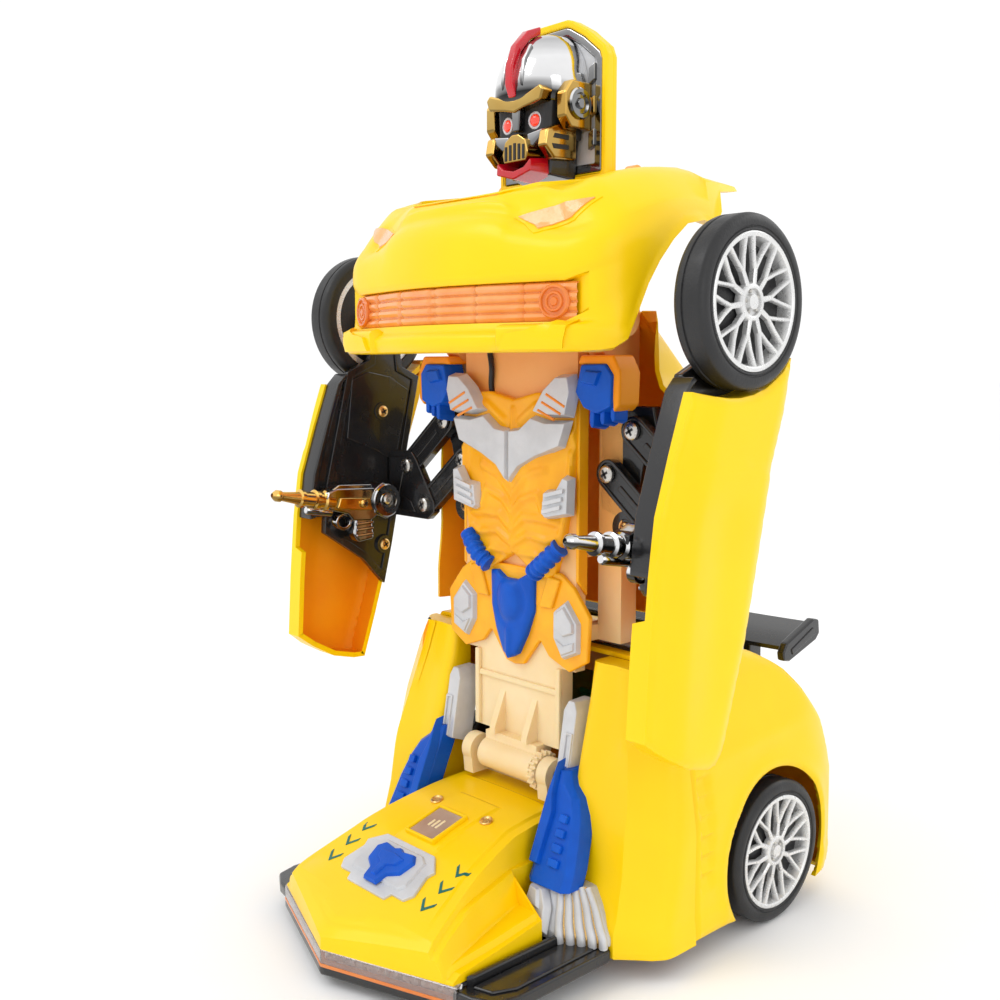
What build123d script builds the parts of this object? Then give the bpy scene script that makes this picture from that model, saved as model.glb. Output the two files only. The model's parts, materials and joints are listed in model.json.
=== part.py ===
from build123d import *
import os
import math

os.makedirs("parts", exist_ok=True)

# ---------------------------------------------------------------- dimensions
# Millimetres. The model stands on Z = 0, faces -Y, its own left side is +X.
AXLE_Y = 37.0            # rear axle line in the model frame; profiles are drawn from it
WHEEL_R = 19.0           # road wheel radius
WHEEL_W = 8.4            # tyre width
REAR_FACE = 55.2         # outer face of a rear wheel
FRONT_FACE = 71.8        # outer face of a front wheel
FW_Y, FW_Z = -40.6, 159.9    # front wheel centre, standing
HINGE_Y, HINGE_Z = -44.35, 40.45     # waist hinge
HOOD_Y, HOOD_Z = -38.35, 157.85      # hood hinge
HEAD_Y, HEAD_Z = -25.0, 194.0        # head hinge
LINK = 22.0              # arm link, pin to pin
LINK_DEG = -39.5         # link slope, standing
P1X, P1Z = 35.5, 130.5   # upper link pin on the torso
P2X, P2Z = 27.5, 119.5   # lower link pin on the torso
PIN_R = 1.5
BORE_R = 1.56            # running bore on a 3 mm pin
WALL = 2.0
ARM_IN = 60.4            # inner face of the arm frame
ARM_MID = 62.8           # arm frame to door
ARM_OUT = 71.4           # outer face of the door
GUN_Y, GUN_Z = -46.0, 107.0
TT_Y = -62.0             # turntable centre
DX = LINK * math.cos(math.radians(LINK_DEG))
DZ = LINK * math.sin(math.radians(LINK_DEG))


def side(x):
    """Plane of constant X: first axis +Y from the rear axle, second +Z."""
    return Plane(origin=(x, AXLE_Y, 0), x_dir=(0, 1, 0), z_dir=(1, 0, 0))


def front(y):
    """Plane of constant Y, normal forward: first axis +X, second +Z."""
    return Plane(origin=(0, AXLE_Y + y, 0), x_dir=(1, 0, 0), z_dir=(0, -1, 0))


def level(z):
    """Plane of constant Z: first axis +X, second +Y from the rear axle."""
    return Plane(origin=(0, AXLE_Y, z))


def prism(plane, pts, amount, mode=Mode.ADD):
    with BuildSketch(plane) as sk:
        with BuildLine():
            Polyline(*pts, close=True)
        make_face()
    extrude(sk.sketch, amount=amount, mode=mode)


def rod(plane, at, r, amount, mode=Mode.ADD):
    with BuildSketch(plane) as sk:
        with Locations(at):
            Circle(r)
    extrude(sk.sketch, amount=amount, mode=mode)


def finish(name, label):
    name.part.label = label
    export_step(name.part, "parts/" + label + ".step")


def gear_points(cy, cz, teeth, root, tip, phase=0.0):
    pts = []
    step = 2 * math.pi / teeth
    for i in range(teeth):
        a = i * step + phase
        for da, r in ((-0.30, root), (-0.12, tip), (0.12, tip), (0.30, root)):
            t = a + da * step
            pts.append((cy + r * math.cos(t), cz + r * math.sin(t)))
    return pts


# ============================================================ base, fixed root
# chassis tub: floor plate, side walls, axle bearings, turntable hole
tub = [(-38, 23.4), (38, 23.4), (38, -50), (31, -58), (31, -86), (24, -92.5),
       (-24, -92.5), (-31, -86), (-31, -58), (-38, -50)]
with BuildPart() as chassis_tub:
    prism(level(4.5), tub, 2.2)
    for s in (-1, 1):
        prism(side(36.0 if s > 0 else -38.0), [(-50, 4.5), (-50, 12), (-9, 12), (-6, 24), (6, 24), (9, 12), (23.4, 12), (23.4, 4.5)], 2.0)
    prism(level(4.5), [(-38, 21.6), (38, 21.6), (38, 23.4), (-38, 23.4)], 7.5)
    # turntable collar
    rod(level(6.7), (0, TT_Y), 19.8, 5.3)
    rod(level(4.0), (0, TT_Y), 18.4, 10, Mode.SUBTRACT)
    rod(side(-40), (0, WHEEL_R), BORE_R, 80, Mode.SUBTRACT)
    # power switch slot
    prism(level(4.0), [(29.2, -25.0), (32.8, -25.0), (32.8, -16.0), (29.2, -16.0)], 4, Mode.SUBTRACT)
finish(chassis_tub, "chassis_tub")

with BuildPart() as side_skirts:
    for s in (-1, 1):
        prism(level(5.2), [(s * 35.3, -55), (s * 45.9, -55), (s * 45.9, -86), (s * 44.0, -91.5), (s * 39, -94.0), (s * 35.3, -93)], 3.0)
finish(side_skirts, "side_skirts")

# foot cover: ridge, lower shoulders and pointed front, hollow below
with BuildPart() as foot_cover:
    plan = [(-22, -40), (22, -40), (22, -66), (33, -66), (34, -95), (0, -107.2), (-34, -95), (-33, -66), (-22, -66)]
    prism(level(9.0), plan, 26)
    prism(side(-40), [(-39, 33.0), (-39, 50), (-110, 50), (-110, 12.2), (-95, 18.3), (-77, 26.8), (-63, 30.8)], 80, Mode.SUBTRACT)
    for s in (-1, 1):
        x0 = 21.5 if s > 0 else -40
        prism(side(x0), [(-60, 16), (-60, 40), (-110, 40), (-110, 10.6), (-95, 12.6), (-66, 16)], 18.5, Mode.SUBTRACT)
    inner = [(-20, -42), (20, -42), (20, -68), (31, -68), (32, -93.6), (0, -104.6), (-32, -93.6), (-31, -68), (-20, -68)]
    with BuildPart(mode=Mode.PRIVATE) as foot_core:
        prism(level(8.0), inner, 26)
        prism(side(-40), [(-39, 31.0), (-39, 50), (-110, 50), (-110, 9.9), (-95, 16.1), (-77, 24.6), (-63, 28.7)], 80, Mode.SUBTRACT)
        for s in (-1, 1):
            x0 = 19.5 if s > 0 else -40
            prism(side(x0), [(-60, 14), (-60, 40), (-110, 40), (-110, 8.5), (-95, 10.5), (-66, 14)], 20.5, Mode.SUBTRACT)
    add(foot_core.part, mode=Mode.SUBTRACT)
    # window for the sensor lens
    prism(level(20), [(-5.2, -77), (5.2, -77), (5.2, -65.5), (-5.2, -65.5)], 20, Mode.SUBTRACT)
finish(foot_cover, "foot_cover")

SLOPE = math.atan2(26.8 - 18.3, 18.0)
foot_top = Plane(origin=(0, AXLE_Y - 86.0, 22.55), x_dir=(1, 0, 0), z_dir=(0, -math.sin(SLOPE), math.cos(SLOPE)))
with BuildPart() as foot_emblem_plate:
    prism(foot_top, [(-14, -6), (-9, -8), (9, -8), (14, -6), (12.5, 4), (8, 7.5), (-8, 7.5), (-12.5, 4)], 1.2)
finish(foot_emblem_plate, "foot_emblem_plate")

with BuildPart() as foot_window_lens:
    prism(side(-5.1), [(-65.6, 29.9), (-76.9, 26.7), (-76.9, 24.5), (-65.6, 27.7)], 10.2)
finish(foot_window_lens, "foot_window_lens")

with BuildPart() as nose_lens:
    prism(level(4.3), [(-35.0, -94.8), (0, -107.2), (35.0, -94.8), (34.0, -92.2), (0, -104.0), (-34.0, -92.2)], 4.6)
finish(nose_lens, "nose_lens")

# waist hinge, base side
with BuildPart() as hinge_mount:
    prism(side(-22), [(-39.8, 6.7), (-39.8, 33.6), (-38.6, 33.6), (-38.6, 36.8), (-35.6, 36.8), (-35.6, 6.7)], 44)
    for s in (-1, 1):
        x0 = 12.8 if s > 0 else -16.4
        prism(side(x0), [(-48.2, 40.4), (-47.6, 34.0), (-35.6, 34.0), (-35.6, 38.0), (-40.2, 41.0)], 3.6)
        rod(side(x0), (HINGE_Y, HINGE_Z), 4.2, 3.6)
    rod(side(-17), (HINGE_Y, HINGE_Z), PIN_R, 34, Mode.SUBTRACT)
    # clearance for the lift gear and its pinion
    rod(side(9.9), (HINGE_Y, HINGE_Z), 5.9, 2.8, Mode.SUBTRACT)
    rod(side(9.9), (-37.55, 37.3), 3.4, 2.8, Mode.SUBTRACT)
    rod(side(9.9), (-37.55, 37.3), 0.95, 13, Mode.SUBTRACT)
finish(hinge_mount, "hinge_mount")

with BuildPart() as waist_pin:
    rod(side(-16.4), (HINGE_Y, HINGE_Z), PIN_R, 32.8)
finish(waist_pin, "waist_pin")

# rear body: tail, fenders and deck
tail = [(-34.9, 6), (-34.9, 73.5), (-11, 73.5), (2, 70.5), (13, 64.5), (24, 52.5), (27.5, 48), (31, 40), (33.2, 28), (33.2, 14), (29, 8), (24, 6)]
tail_in = [(-36, 5), (-36, 71.3), (-11.6, 71.3), (1, 68.4), (11.6, 62.8), (22.2, 51.3), (25.6, 47), (28.9, 39.6), (31.1, 28), (31.1, 15), (28, 10), (24, 8), (24, 5)]
with BuildPart() as rear_body_shell:
    with BuildPart(mode=Mode.PRIVATE) as tail_front:
        prism(front(40), [(-55.4, 6), (-55.4, 34), (-52.5, 50), (-47, 66), (-42, 74), (42, 74), (47, 66), (52.5, 50), (55.4, 34), (55.4, 6)], 80)
    prism(side(-56), tail, 112)
    add(tail_front.part, mode=Mode.INTERSECT)
    with BuildPart(mode=Mode.PRIVATE) as tail_core:
        prism(side(-56), tail_in, 112)
        with BuildPart(mode=Mode.PRIVATE) as core_front:
            prism(front(40), [(-53.3, 4), (-53.3, 33.6), (-50.5, 49.3), (-45.1, 65), (-40.8, 72), (40.8, 72), (45.1, 65), (50.5, 49.3), (53.3, 33.6), (53.3, 4)], 80)
        add(core_front.part, mode=Mode.INTERSECT)
    add(tail_core.part, mode=Mode.SUBTRACT)
    for s in (-1, 1):
        x0 = 44.0 if s > 0 else -57
        rod(side(x0), (0, WHEEL_R), 22.3, 13, Mode.SUBTRACT)
        prism(side(x0), [(-22.3, WHEEL_R), (-22.3, 3), (22.3, 3), (22.3, WHEEL_R)], 13, Mode.SUBTRACT)
    prism(side(-42), [(23.9, 5), (34, 5), (34, 9), (23.9, 9)], 84, Mode.SUBTRACT)
finish(rear_body_shell, "rear_body_shell")

# leg shells: the front of the body, one each side of the waist
leg = [(-35.0, 6.0), (-35.0, 72.0), (-41.8, 72.0), (-43.2, 64.0), (-49.8, 36.0), (-51.2, 24.0), (-54.6, 14.0), (-54.6, 6.0)]
leg_in = [(-34.0, 5.0), (-34.0, 70.0), (-40.2, 70.0), (-41.3, 63.5), (-47.8, 35.6), (-49.2, 23.6), (-52.6, 13.6), (-52.6, 5.0)]
with BuildPart() as leg_shell_left:
    prism(side(26.2), leg, 28.6)
    prism(side(28.2), leg_in, 24.6, Mode.SUBTRACT)
    prism(front(-30), [(54.9, 34), (52.0, 50), (47.5, 64), (44, 73), (56, 73), (56, 34)], 30, Mode.SUBTRACT)
    prism(side(26.0), [(-60.0, 4.0), (-60.0, 12.4), (-30.0, 12.4), (-30.0, 4.0)], 12.4, Mode.SUBTRACT)
finish(leg_shell_left, "leg_shell_left")

with BuildPart() as leg_shell_right:
    add(mirror(leg_shell_left.part, about=Plane.YZ, mode=Mode.PRIVATE))
finish(leg_shell_right, "leg_shell_right")

# robot leg columns beside the waist: silver thigh, blue shin, silver boot
with BuildPart() as thigh_trims:
    for s in (-1, 1):
        x0 = 17.4 if s > 0 else -26.1
        prism(side(x0), [(-36.0, 45.2), (-36.0, 65.6), (-43.6, 65.6), (-45.4, 62.5), (-48.6, 45.2)], 8.7)
finish(thigh_trims, "thigh_trims")

with BuildPart() as shin_guards:
    for s in (-1, 1):
        x0 = 22.4 if s > 0 else -26.1
        prism(side(x0), [(-40.0, 24.2), (-40.0, 45.0), (-49.0, 45.0), (-57.5, 24.2)], 3.7)
        x0 = 22.4 if s > 0 else -36.0
        prism(side(x0), [(-55.2, 20.2), (-52.2, 30.0), (-50.4, 38.0), (-53.4, 38.0), (-61.0, 20.2)], 13.6)
finish(shin_guards, "shin_guards")

with BuildPart() as ankle_boots:
    for s in (-1, 1):
        x0 = 24.0 if s > 0 else -46.0
        prism(side(x0), [(-55.0, 8.4), (-55.0, 20.0), (-61.6, 20.0), (-65.4, 12.0), (-65.4, 8.4)], 22)
finish(ankle_boots, "ankle_boots")

with BuildPart() as rear_spoiler:
    prism(side(-43), [(17.5, 69.0), (30.5, 73.2), (31.0, 71.6), (18.0, 66.8)], 86)
    for s in (-1, 1):
        x0 = 43.0 if s > 0 else -45.4
        prism(side(x0), [(14.5, 67.0), (29.0, 75.4), (32.0, 73.4), (32.0, 69.4), (17.5, 65.0)], 2.4)
        x0 = 29.0 if s > 0 else -32.0
        prism(side(x0), [(18.5, 58.55), (18.5, 68.3), (23.0, 69.6), (23.0, 53.6)], 3.0)
finish(rear_spoiler, "rear_spoiler")

with BuildPart() as tail_light_lenses:
    for s in (-1, 1):
        x0 = 20.0 if s > 0 else -42.0
        prism(side(x0), [(31.05, 40.0), (31.9, 40.2), (33.2, 32.9), (33.2, 31.4), (32.65, 31.2)], 22.0)
finish(tail_light_lenses, "tail_light_lenses")

with BuildPart() as battery_door:
    prism(level(3.2), [(-27, 20), (27, 20), (27, -35), (-27, -35)], 1.3)
finish(battery_door, "battery_door")

# three AA cells, 14.5 x 50.5
with BuildPart() as battery_cells:
    for yy in (-27.0, -12.0, 12.0):
        rod(side(-24.5), (yy, 14.0), 7.25, 49.0)
        rod(side(24.5), (yy, 14.0), 2.75, 1.5)
finish(battery_cells, "battery_cells")

# lift drive: gearbox with its motor, beside the waist
with BuildPart() as lift_gearbox:
    prism(side(22.2), [(-34.8, 26.0), (-34.8, 44.0), (-20.0, 44.0), (-20.0, 26.0)], 12.0)
    rod(side(34.2), (-27.0, 34.0), 6.0, 14.0)
finish(lift_gearbox, "lift_gearbox")

with BuildPart() as circuit_board:
    prism(level(50.0), [(-24, -26), (24, -26), (24, 8), (-24, 8)], 1.6)
    prism(level(51.6), [(-6, -12), (6, -12), (6, 0), (-6, 0)], 1.5)
    rod(level(51.6), (15, -15), 3.0, 7.0)
    # speaker can under the board
    rod(level(38.0), (0, -9), 14.0, 12.0)
finish(circuit_board, "circuit_board")

# ------------------------------------------------------- moving base pieces
with BuildPart() as power_switch:
    prism(level(6.8), [(28.4, -25.6), (33.6, -25.6), (33.6, -18.0), (28.4, -18.0)], 1.6)
    prism(level(3.4), [(29.5, -24.6), (32.5, -24.6), (32.5, -19.6), (29.5, -19.6)], 3.4)
finish(power_switch, "power_switch")

with BuildPart() as lift_pinion:
    prism(side(10.3), gear_points(-37.55, 37.3, 9, 1.95, 2.9, math.radians(35.14)), 2.0)
    rod(side(10.3), (-37.55, 37.3), 0.9, 11.8)
finish(lift_pinion, "lift_pinion")

with BuildPart() as rear_axle:
    rod(side(-REAR_FACE + 1.4), (0, WHEEL_R), PIN_R, 2 * REAR_FACE - 2.8)
finish(rear_axle, "rear_axle")

with BuildPart() as rear_tyres:
    for s in (-1, 1):
        x0 = REAR_FACE - WHEEL_W if s > 0 else -REAR_FACE
        rod(side(x0), (0, WHEEL_R), WHEEL_R, WHEEL_W)
        rod(side(x0), (0, WHEEL_R), 15.2, WHEEL_W, Mode.SUBTRACT)
finish(rear_tyres, "rear_tyres")


def rim(x_face, s, yc, zc, bore):
    """Spoked rim with a hub, a flat dish behind it and a barrel."""
    xo = x_face - 0.8 if s > 0 else -x_face + 0.8
    d = -1 if s > 0 else 1
    rod(side(xo), (yc, zc), 15.2, d * (WHEEL_W - 1.6))
    rod(side(xo), (yc, zc), 13.4, d * 2.6, Mode.SUBTRACT)
    rod(side(xo + d * 2.6), (yc, zc), 13.4, -d * 2.2)
    with BuildSketch(side(xo + d * 2.6)) as gaps:
        with Locations((yc, zc)):
            with PolarLocations(8.9, 10):
                SlotOverall(7.0, 2.6)
    extrude(gaps.sketch, amount=-d * 2.3, mode=Mode.SUBTRACT)
    rod(side(x_face - 10 if s > 0 else -x_face - 2), (yc, zc), bore, 12, Mode.SUBTRACT)


with BuildPart() as rear_rims:
    for s in (-1, 1):
        with BuildPart(mode=Mode.PRIVATE) as one_rim:
            rim(REAR_FACE, s, 0, WHEEL_R, PIN_R)
        add(one_rim.part)
finish(rear_rims, "rear_rims")

# bump-and-go turntable: round plate with a motor housing and two drive wheels
with BuildPart() as turntable:
    rod(level(8.6), (0, TT_Y), 18.1, 2.6)
    prism(level(8.6), [(-6.8, TT_Y - 9), (6.8, TT_Y - 9), (6.8, TT_Y + 9), (-6.8, TT_Y + 9)], 8.4)
    prism(level(3.6), [(-6.8, TT_Y - 4), (6.8, TT_Y - 4), (6.8, TT_Y + 4), (-6.8, TT_Y + 4)], 5.2)
    for s in (-1, 1):
        prism(level(6.0), [(s * 7.2, TT_Y - 7.4), (s * 13.4, TT_Y - 7.4), (s * 13.4, TT_Y + 7.4), (s * 7.2, TT_Y + 7.4)], 8, Mode.SUBTRACT)
    rod(side(-14), (TT_Y, 6.6), 1.06, 28, Mode.SUBTRACT)
finish(turntable, "turntable")

with BuildPart() as drive_wheels:
    for s in (-1, 1):
        rod(side(7.6 if s > 0 else -13.0), (TT_Y, 6.6), 6.6, 5.4)
    rod(side(-12), (TT_Y, 6.6), 1.0, 24)
finish(drive_wheels, "drive_wheels")

# ===================================================================== torso
with BuildPart() as torso_frame:
    rod(side(-9.9), (HINGE_Y, HINGE_Z), 4.2, 19.8)
    prism(side(-9.9), [(-45.4, 44.2), (-45.4, 46.8), (-38.6, 46.8), (-41.0, 42.5)], 19.8)
    prism(side(-16.4), [(-42.4, 46.6), (-42.4, 68.6), (-38.6, 68.6), (-38.6, 46.6)], 32.8)
    prism(side(-21.0), [(-42.4, 68.4), (-42.4, 150.0), (-38.9, 150.0), (-38.9, 68.4)], 42.0)
    # two gussets below the belt
    for s in (-1, 1):
        x0 = 5.2 if s > 0 else -7.2
        prism(side(x0), [(-42.2, 46.6), (-46.4, 46.8), (-46.4, 48.4), (-42.2, 58.6)], 2.0)
    # side posts, tied to the breast plate by ribs
    for s in (-1, 1):
        x0 = 21.6 if s > 0 else -29.4
        prism(side(x0), [(-34.8, 76.0), (-34.8, 156.0), (-29.0, 156.0), (-29.0, 76.0)], 7.8)
        for zz in (76.0, 98.0, 144.0):
            x1 = 18.4 if s > 0 else -21.8
            prism(side(x1), [(-39.0, zz), (-39.0, zz + 4.0), (-29.0, zz + 4.0), (-29.0, zz)], 3.4)
        # hood ears
        x2 = 24.4 if s > 0 else -29.4
        prism(side(x2), [(-43.2, 150.5), (-43.2, 158.0), (-33.4, 158.0), (-29.0, 154.0), (-29.0, 148.0), (-34.8, 142.0)], 5.0)
        rod(side(x2), (HOOD_Y, HOOD_Z), 4.8, 5.0)
    rod(side(-30), (HINGE_Y, HINGE_Z), BORE_R, 60, Mode.SUBTRACT)
    rod(side(-36), (HOOD_Y, HOOD_Z), PIN_R, 72, Mode.SUBTRACT)
finish(torso_frame, "torso_frame")

with BuildPart() as lift_gear:
    prism(side(10.3), gear_points(HINGE_Y, HINGE_Z, 18, 4.25, 5.3, math.radians(5.14)), 2.0)
    rod(side(9.9), (HINGE_Y, HINGE_Z), 3.6, 0.6)
    rod(side(9.0), (HINGE_Y, HINGE_Z), BORE_R, 5, Mode.SUBTRACT)
finish(lift_gear, "lift_gear")

with BuildPart() as chest_relief:
    prism(front(-42.4), [(-21.5, 139), (-9, 139.5), (0, 136.5), (9, 139.5), (21.5, 139), (21.0, 118), (17.5, 100), (14.5, 92.0), (9, 92.0), (0, 98.0), (-9, 92.0), (-14.5, 92.0), (-17.5, 100), (-21.0, 118)], 3.4)
    prism(front(-42.4), [(-14, 84), (14, 84), (12.5, 92.2), (-12.5, 92.2)], 1.6)
    for s in (-1, 1):
        with BuildSketch(Plane(origin=(s * 17.6, AXLE_Y - 44.6, 101.0), x_dir=(0, 1, 0), z_dir=(-s * 0.80, 0, -0.60))) as channel:
            Circle(1.95)
        extrude(channel.sketch, amount=15.6, mode=Mode.SUBTRACT)
finish(chest_relief, "chest_relief")

with BuildPart() as chest_wings:
    prism(front(-45.8), [(-21.9, 142.0), (-15.0, 140.0), (-8.0, 131.0), (0, 134.0), (8.0, 131.0), (15.0, 140.0), (21.9, 142.0), (21.5, 134.0), (14.0, 126.5), (6.5, 123.5), (0, 117.0), (-6.5, 123.5), (-14.0, 126.5), (-21.5, 134.0)], 2.0)
finish(chest_wings, "chest_wings")

with BuildPart() as shoulder_pads:
    for s in (-1, 1):
        prism(front(-40.5), [(s * 22.2, 141.0), (s * 25.0, 147.4), (s * 35.0, 147.4), (s * 37.6, 143.5), (s * 36.0, 135.0), (s * 30.0, 131.5), (s * 27.6, 136.0)], 6.0)
        prism(front(-38.0), [(s * 22.0, 141.5), (s * 22.0, 143.8), (s * 28.0, 143.8), (s * 28.0, 141.5)], 2.6)
finish(shoulder_pads, "shoulder_pads")

with BuildPart() as chest_trims:
    for s in (-1, 1):
        prism(front(-45.8), [(s * 12.0, 108.5), (s * 22.4, 109.5), (s * 22.4, 119.0), (s * 12.5, 115.5)], 1.4)
        # hip plates
        prism(front(-42.4), [(s * 14.5, 76.5), (s * 18.0, 70.8), (s * 24.6, 73.8), (s * 24.6, 82.0), (s * 19.5, 88.0), (s * 14.5, 84.0)], 2.4)
finish(chest_trims, "chest_trims")

with BuildPart() as belt_and_groin:
    for s in (-1, 1):
        with BuildSketch(Plane(origin=(s * 16.8, AXLE_Y - 44.6, 100.4), x_dir=(0, 1, 0), z_dir=(-s * 0.80, 0, -0.60))) as hose:
            Circle(1.9)
        extrude(hose.sketch, amount=13.6)
    prism(front(-44.0), [(-8.5, 91.8), (8.5, 91.8), (8.0, 82.0), (3.5, 70.5), (0, 68.9), (-3.5, 70.5), (-8.0, 82.0)], 2.6)
    prism(front(-42.4), [(-6.0, 83.9), (6.0, 83.9), (5.0, 75.0), (-5.0, 75.0)], 1.7)
finish(belt_and_groin, "belt_and_groin")

with BuildPart() as hood_pin:
    rod(side(-34.6), (HOOD_Y, HOOD_Z), PIN_R, 69.2)
finish(hood_pin, "hood_pin")

# black brackets that carry the arm links, with their pivot screws
with BuildPart() as shoulder_brackets:
    for s in (-1, 1):
        with BuildPart(mode=Mode.PRIVATE) as bracket:
            prism(front(-31.6), [(s * 29.4, 136.0), (s * 38.6, 136.0), (s * 40.2, 130.5), (s * 36.0, 124.0), (s * 33.5, 112.0), (s * 29.4, 108.0)], 3.2)
            prism(front(-34.8), [(s * 22.0, 112.0), (s * 22.0, 136.0), (s * 31.0, 136.0), (s * 33.0, 125.0), (s * 32.0, 113.0)], 0.6)
            for px, pz in ((P1X, P1Z), (P2X, P2Z)):
                rod(front(-34.8), (s * px, pz), 2.4, 0.6)
                rod(front(-34.8), (s * px, pz), 1.3, 4.0)
                rod(front(-38.6), (s * px, pz), 2.3, 0.9)
        add(bracket.part)
finish(shoulder_brackets, "shoulder_brackets")

with BuildPart() as lead_wire:
    rod(level(126.0), (-10.0, -38.2), 0.7, 26.0)
finish(lead_wire, "lead_wire")

# --------------------------------------------------- roof, slides on the torso
roof_in = [(-41.5, 80.0), (-42.0, 70.0), (-8.4, 70.0), (-1.2, 90.4), (3.3, 108.0), (0.9, 128.2), (-11.4, 140.0), (-33.0, 164.0), (-45.0, 152.0)]
with BuildPart() as roof_shell:
    prism(side(-44), [(-40.6, 82.5), (-7.0, 76.5), (1.0, 90.0), (5.5, 108.0), (3.0, 129.0), (-10.0, 141.5), (-31.0, 160.0), (-29.0, 140.0), (-34.4, 120.0), (-34.4, 98.0), (-40.0, 87.0)], 88)
    with BuildPart(mode=Mode.PRIVATE) as roof_plan:
        prism(level(70), [(-43.4, -42), (43.4, -42), (43.4, -30), (34, 6), (-34, 6), (-43.4, -30)], 72)
        prism(level(140), [(-37.5, -42), (37.5, -42), (37.5, -28), (34, -5), (-34, -5), (-37.5, -28)], 30)
    add(roof_plan.part, mode=Mode.INTERSECT)
    with BuildPart(mode=Mode.PRIVATE) as roof_core:
        prism(side(-44), roof_in, 88)
        with BuildPart(mode=Mode.PRIVATE) as roof_core_plan:
            prism(level(60), [(-41.6, -50), (41.6, -50), (41.6, -30.4), (32.2, 5), (-32.2, 5), (-41.6, -30.4)], 82.2)
            prism(level(140), [(-35.6, -50), (35.6, -50), (35.6, -28.4), (32.2, -5), (-32.2, -5), (-35.6, -28.4)], 30)
        add(roof_core_plan.part, mode=Mode.INTERSECT)
    add(roof_core.part, mode=Mode.SUBTRACT)
    # slide rails that run behind the torso posts
    for s in (-1, 1):
        x0 = 23.0 if s > 0 else -28.0
        prism(side(x0), [(-28.6, 84.0), (-28.6, 134.0), (-24.0, 134.0), (-24.0, 84.0)], 5.0)
        for zz in (88.0, 126.0):
            prism(side(x0), [(-24.2, zz), (-24.2, zz + 4), (2.0, zz + 4), (2.0, zz)], 5.0)
finish(roof_shell, "roof_shell")

# ======================================================================= hood
nose_in = [(-62.0, 146.0), (-73.5, 146.0), (-73.5, 152.0), (-69.4, 157.4), (-68.9, 164.0), (-68.4, 172.0), (-67.0, 179.6), (-62.8, 184.7), (-49.4, 188.8), (-31.8, 191.6), (-9.0, 193.0), (0.0, 192.6), (0.0, 150.0), (-30.0, 146.0)]
with BuildPart() as hood_shell:
    prism(side(-52), [(-62.0, 149.2), (-75.0, 149.2), (-76.0, 152.5), (-71.5, 157.0), (-71.0, 164.0), (-70.5, 172.0), (-69.0, 180.5), (-64.0, 186.5), (-50.0, 190.8), (-32.0, 193.6), (-11.0, 195.0), (-10.0, 192.0), (-11.0, 188.8), (-22.5, 187.4), (-24.0, 178.0), (-32.0, 165.0), (-50.0, 149.2)], 104)
    with BuildPart(mode=Mode.PRIVATE) as hood_plan:
        prism(level(140), [(0, -76), (22.7, -73), (44, -67.5), (49.5, -62), (50.5, -50), (50.5, -8), (-50.5, -8), (-50.5, -50), (-49.5, -62), (-44, -67.5), (-22.7, -73)], 60)
    add(hood_plan.part, mode=Mode.INTERSECT)
    # upper corners roll off
    for s in (-1, 1):
        prism(front(0), [(s * 38, 196), (s * 44, 193.2), (s * 49.0, 188), (s * 51.5, 181), (s * 54, 181), (s * 54, 197), (s * 38, 197)], 80, Mode.SUBTRACT)
    with BuildPart(mode=Mode.PRIVATE) as hood_core:
        prism(side(-52), nose_in, 104)
        with BuildPart(mode=Mode.PRIVATE) as hood_core_plan:
            prism(level(140), [(0, -73.8), (22.2, -70.8), (43, -65.6), (47.4, -61), (48.4, -50), (48.4, 1), (-48.4, 1), (-48.4, -50), (-47.4, -61), (-43, -65.6), (-22.2, -70.8)], 60)
            for s in (-1, 1):
                prism(front(0), [(s * 38, 194), (s * 43.2, 191.4), (s * 47.4, 187), (s * 49.4, 181), (s * 54, 181), (s * 54, 204), (s * 38, 204)], 80, Mode.SUBTRACT)
        add(hood_core_plan.part, mode=Mode.INTERSECT)
    add(hood_core.part, mode=Mode.SUBTRACT)
    for s in (-1, 1):
        rod(side(46 if s > 0 else -52), (-32.05, 157.0), 22.5, 6, Mode.SUBTRACT)
    # opening that the head comes out of
    prism(level(180), [(-15.5, -65.0), (15.5, -65.0), (21.0, -58), (21.0, -22.4), (-21.0, -22.4), (-21.0, -58)], 20, Mode.SUBTRACT)
    for s in (-1, 1):
        rod(side(20.8 if s > 0 else -24.9), (HEAD_Y, HEAD_Z), 2.6, 4.1, Mode.SUBTRACT)
    # grille and headlight apertures
    prism(front(-60), [(-40, 157.6), (40, 157.6), (41.5, 163.6), (-41.5, 163.6)], 20, Mode.SUBTRACT)
    for s in (-1, 1):
        prism(front(-50), [(s * 23.5, 180.0), (s * 30.0, 176.8), (s * 40.5, 182.6), (s * 39.5, 184.0)], 30, Mode.SUBTRACT)
finish(hood_shell, "hood_shell")

with BuildPart() as grille_lens:
    with BuildPart(mode=Mode.PRIVATE) as grille_band:
        prism(level(157.7), [(0, -73.2), (22.4, -70.0), (39.6, -66.0), (39.6, -63.0), (22.4, -67.6), (0, -70.8), (-22.4, -67.6), (-39.6, -63.0), (-39.6, -66.0), (-22.4, -70.0)], 5.8)
    add(grille_band.part)
finish(grille_lens, "grille_lens")

with BuildPart() as headlight_lenses:
    for s in (-1, 1):
        prism(front(-52), [(s * 24.2, 180.0), (s * 30.0, 177.2), (s * 39.6, 182.6), (s * 39.0, 183.6)], 16.0)
    prism(side(-52), [(-80, 170), (-71.0, 170.0), (-68.6, 180.5), (-63.4, 186.8), (-50, 191), (-50, 200), (-80, 200)], 104, Mode.SUBTRACT)
    prism(side(-52), [(-50, 170), (-66.6, 170.0), (-64.8, 178.8), (-60.6, 183.7), (-50, 187)], 104, Mode.SUBTRACT)
finish(headlight_lenses, "headlight_lenses")

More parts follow.
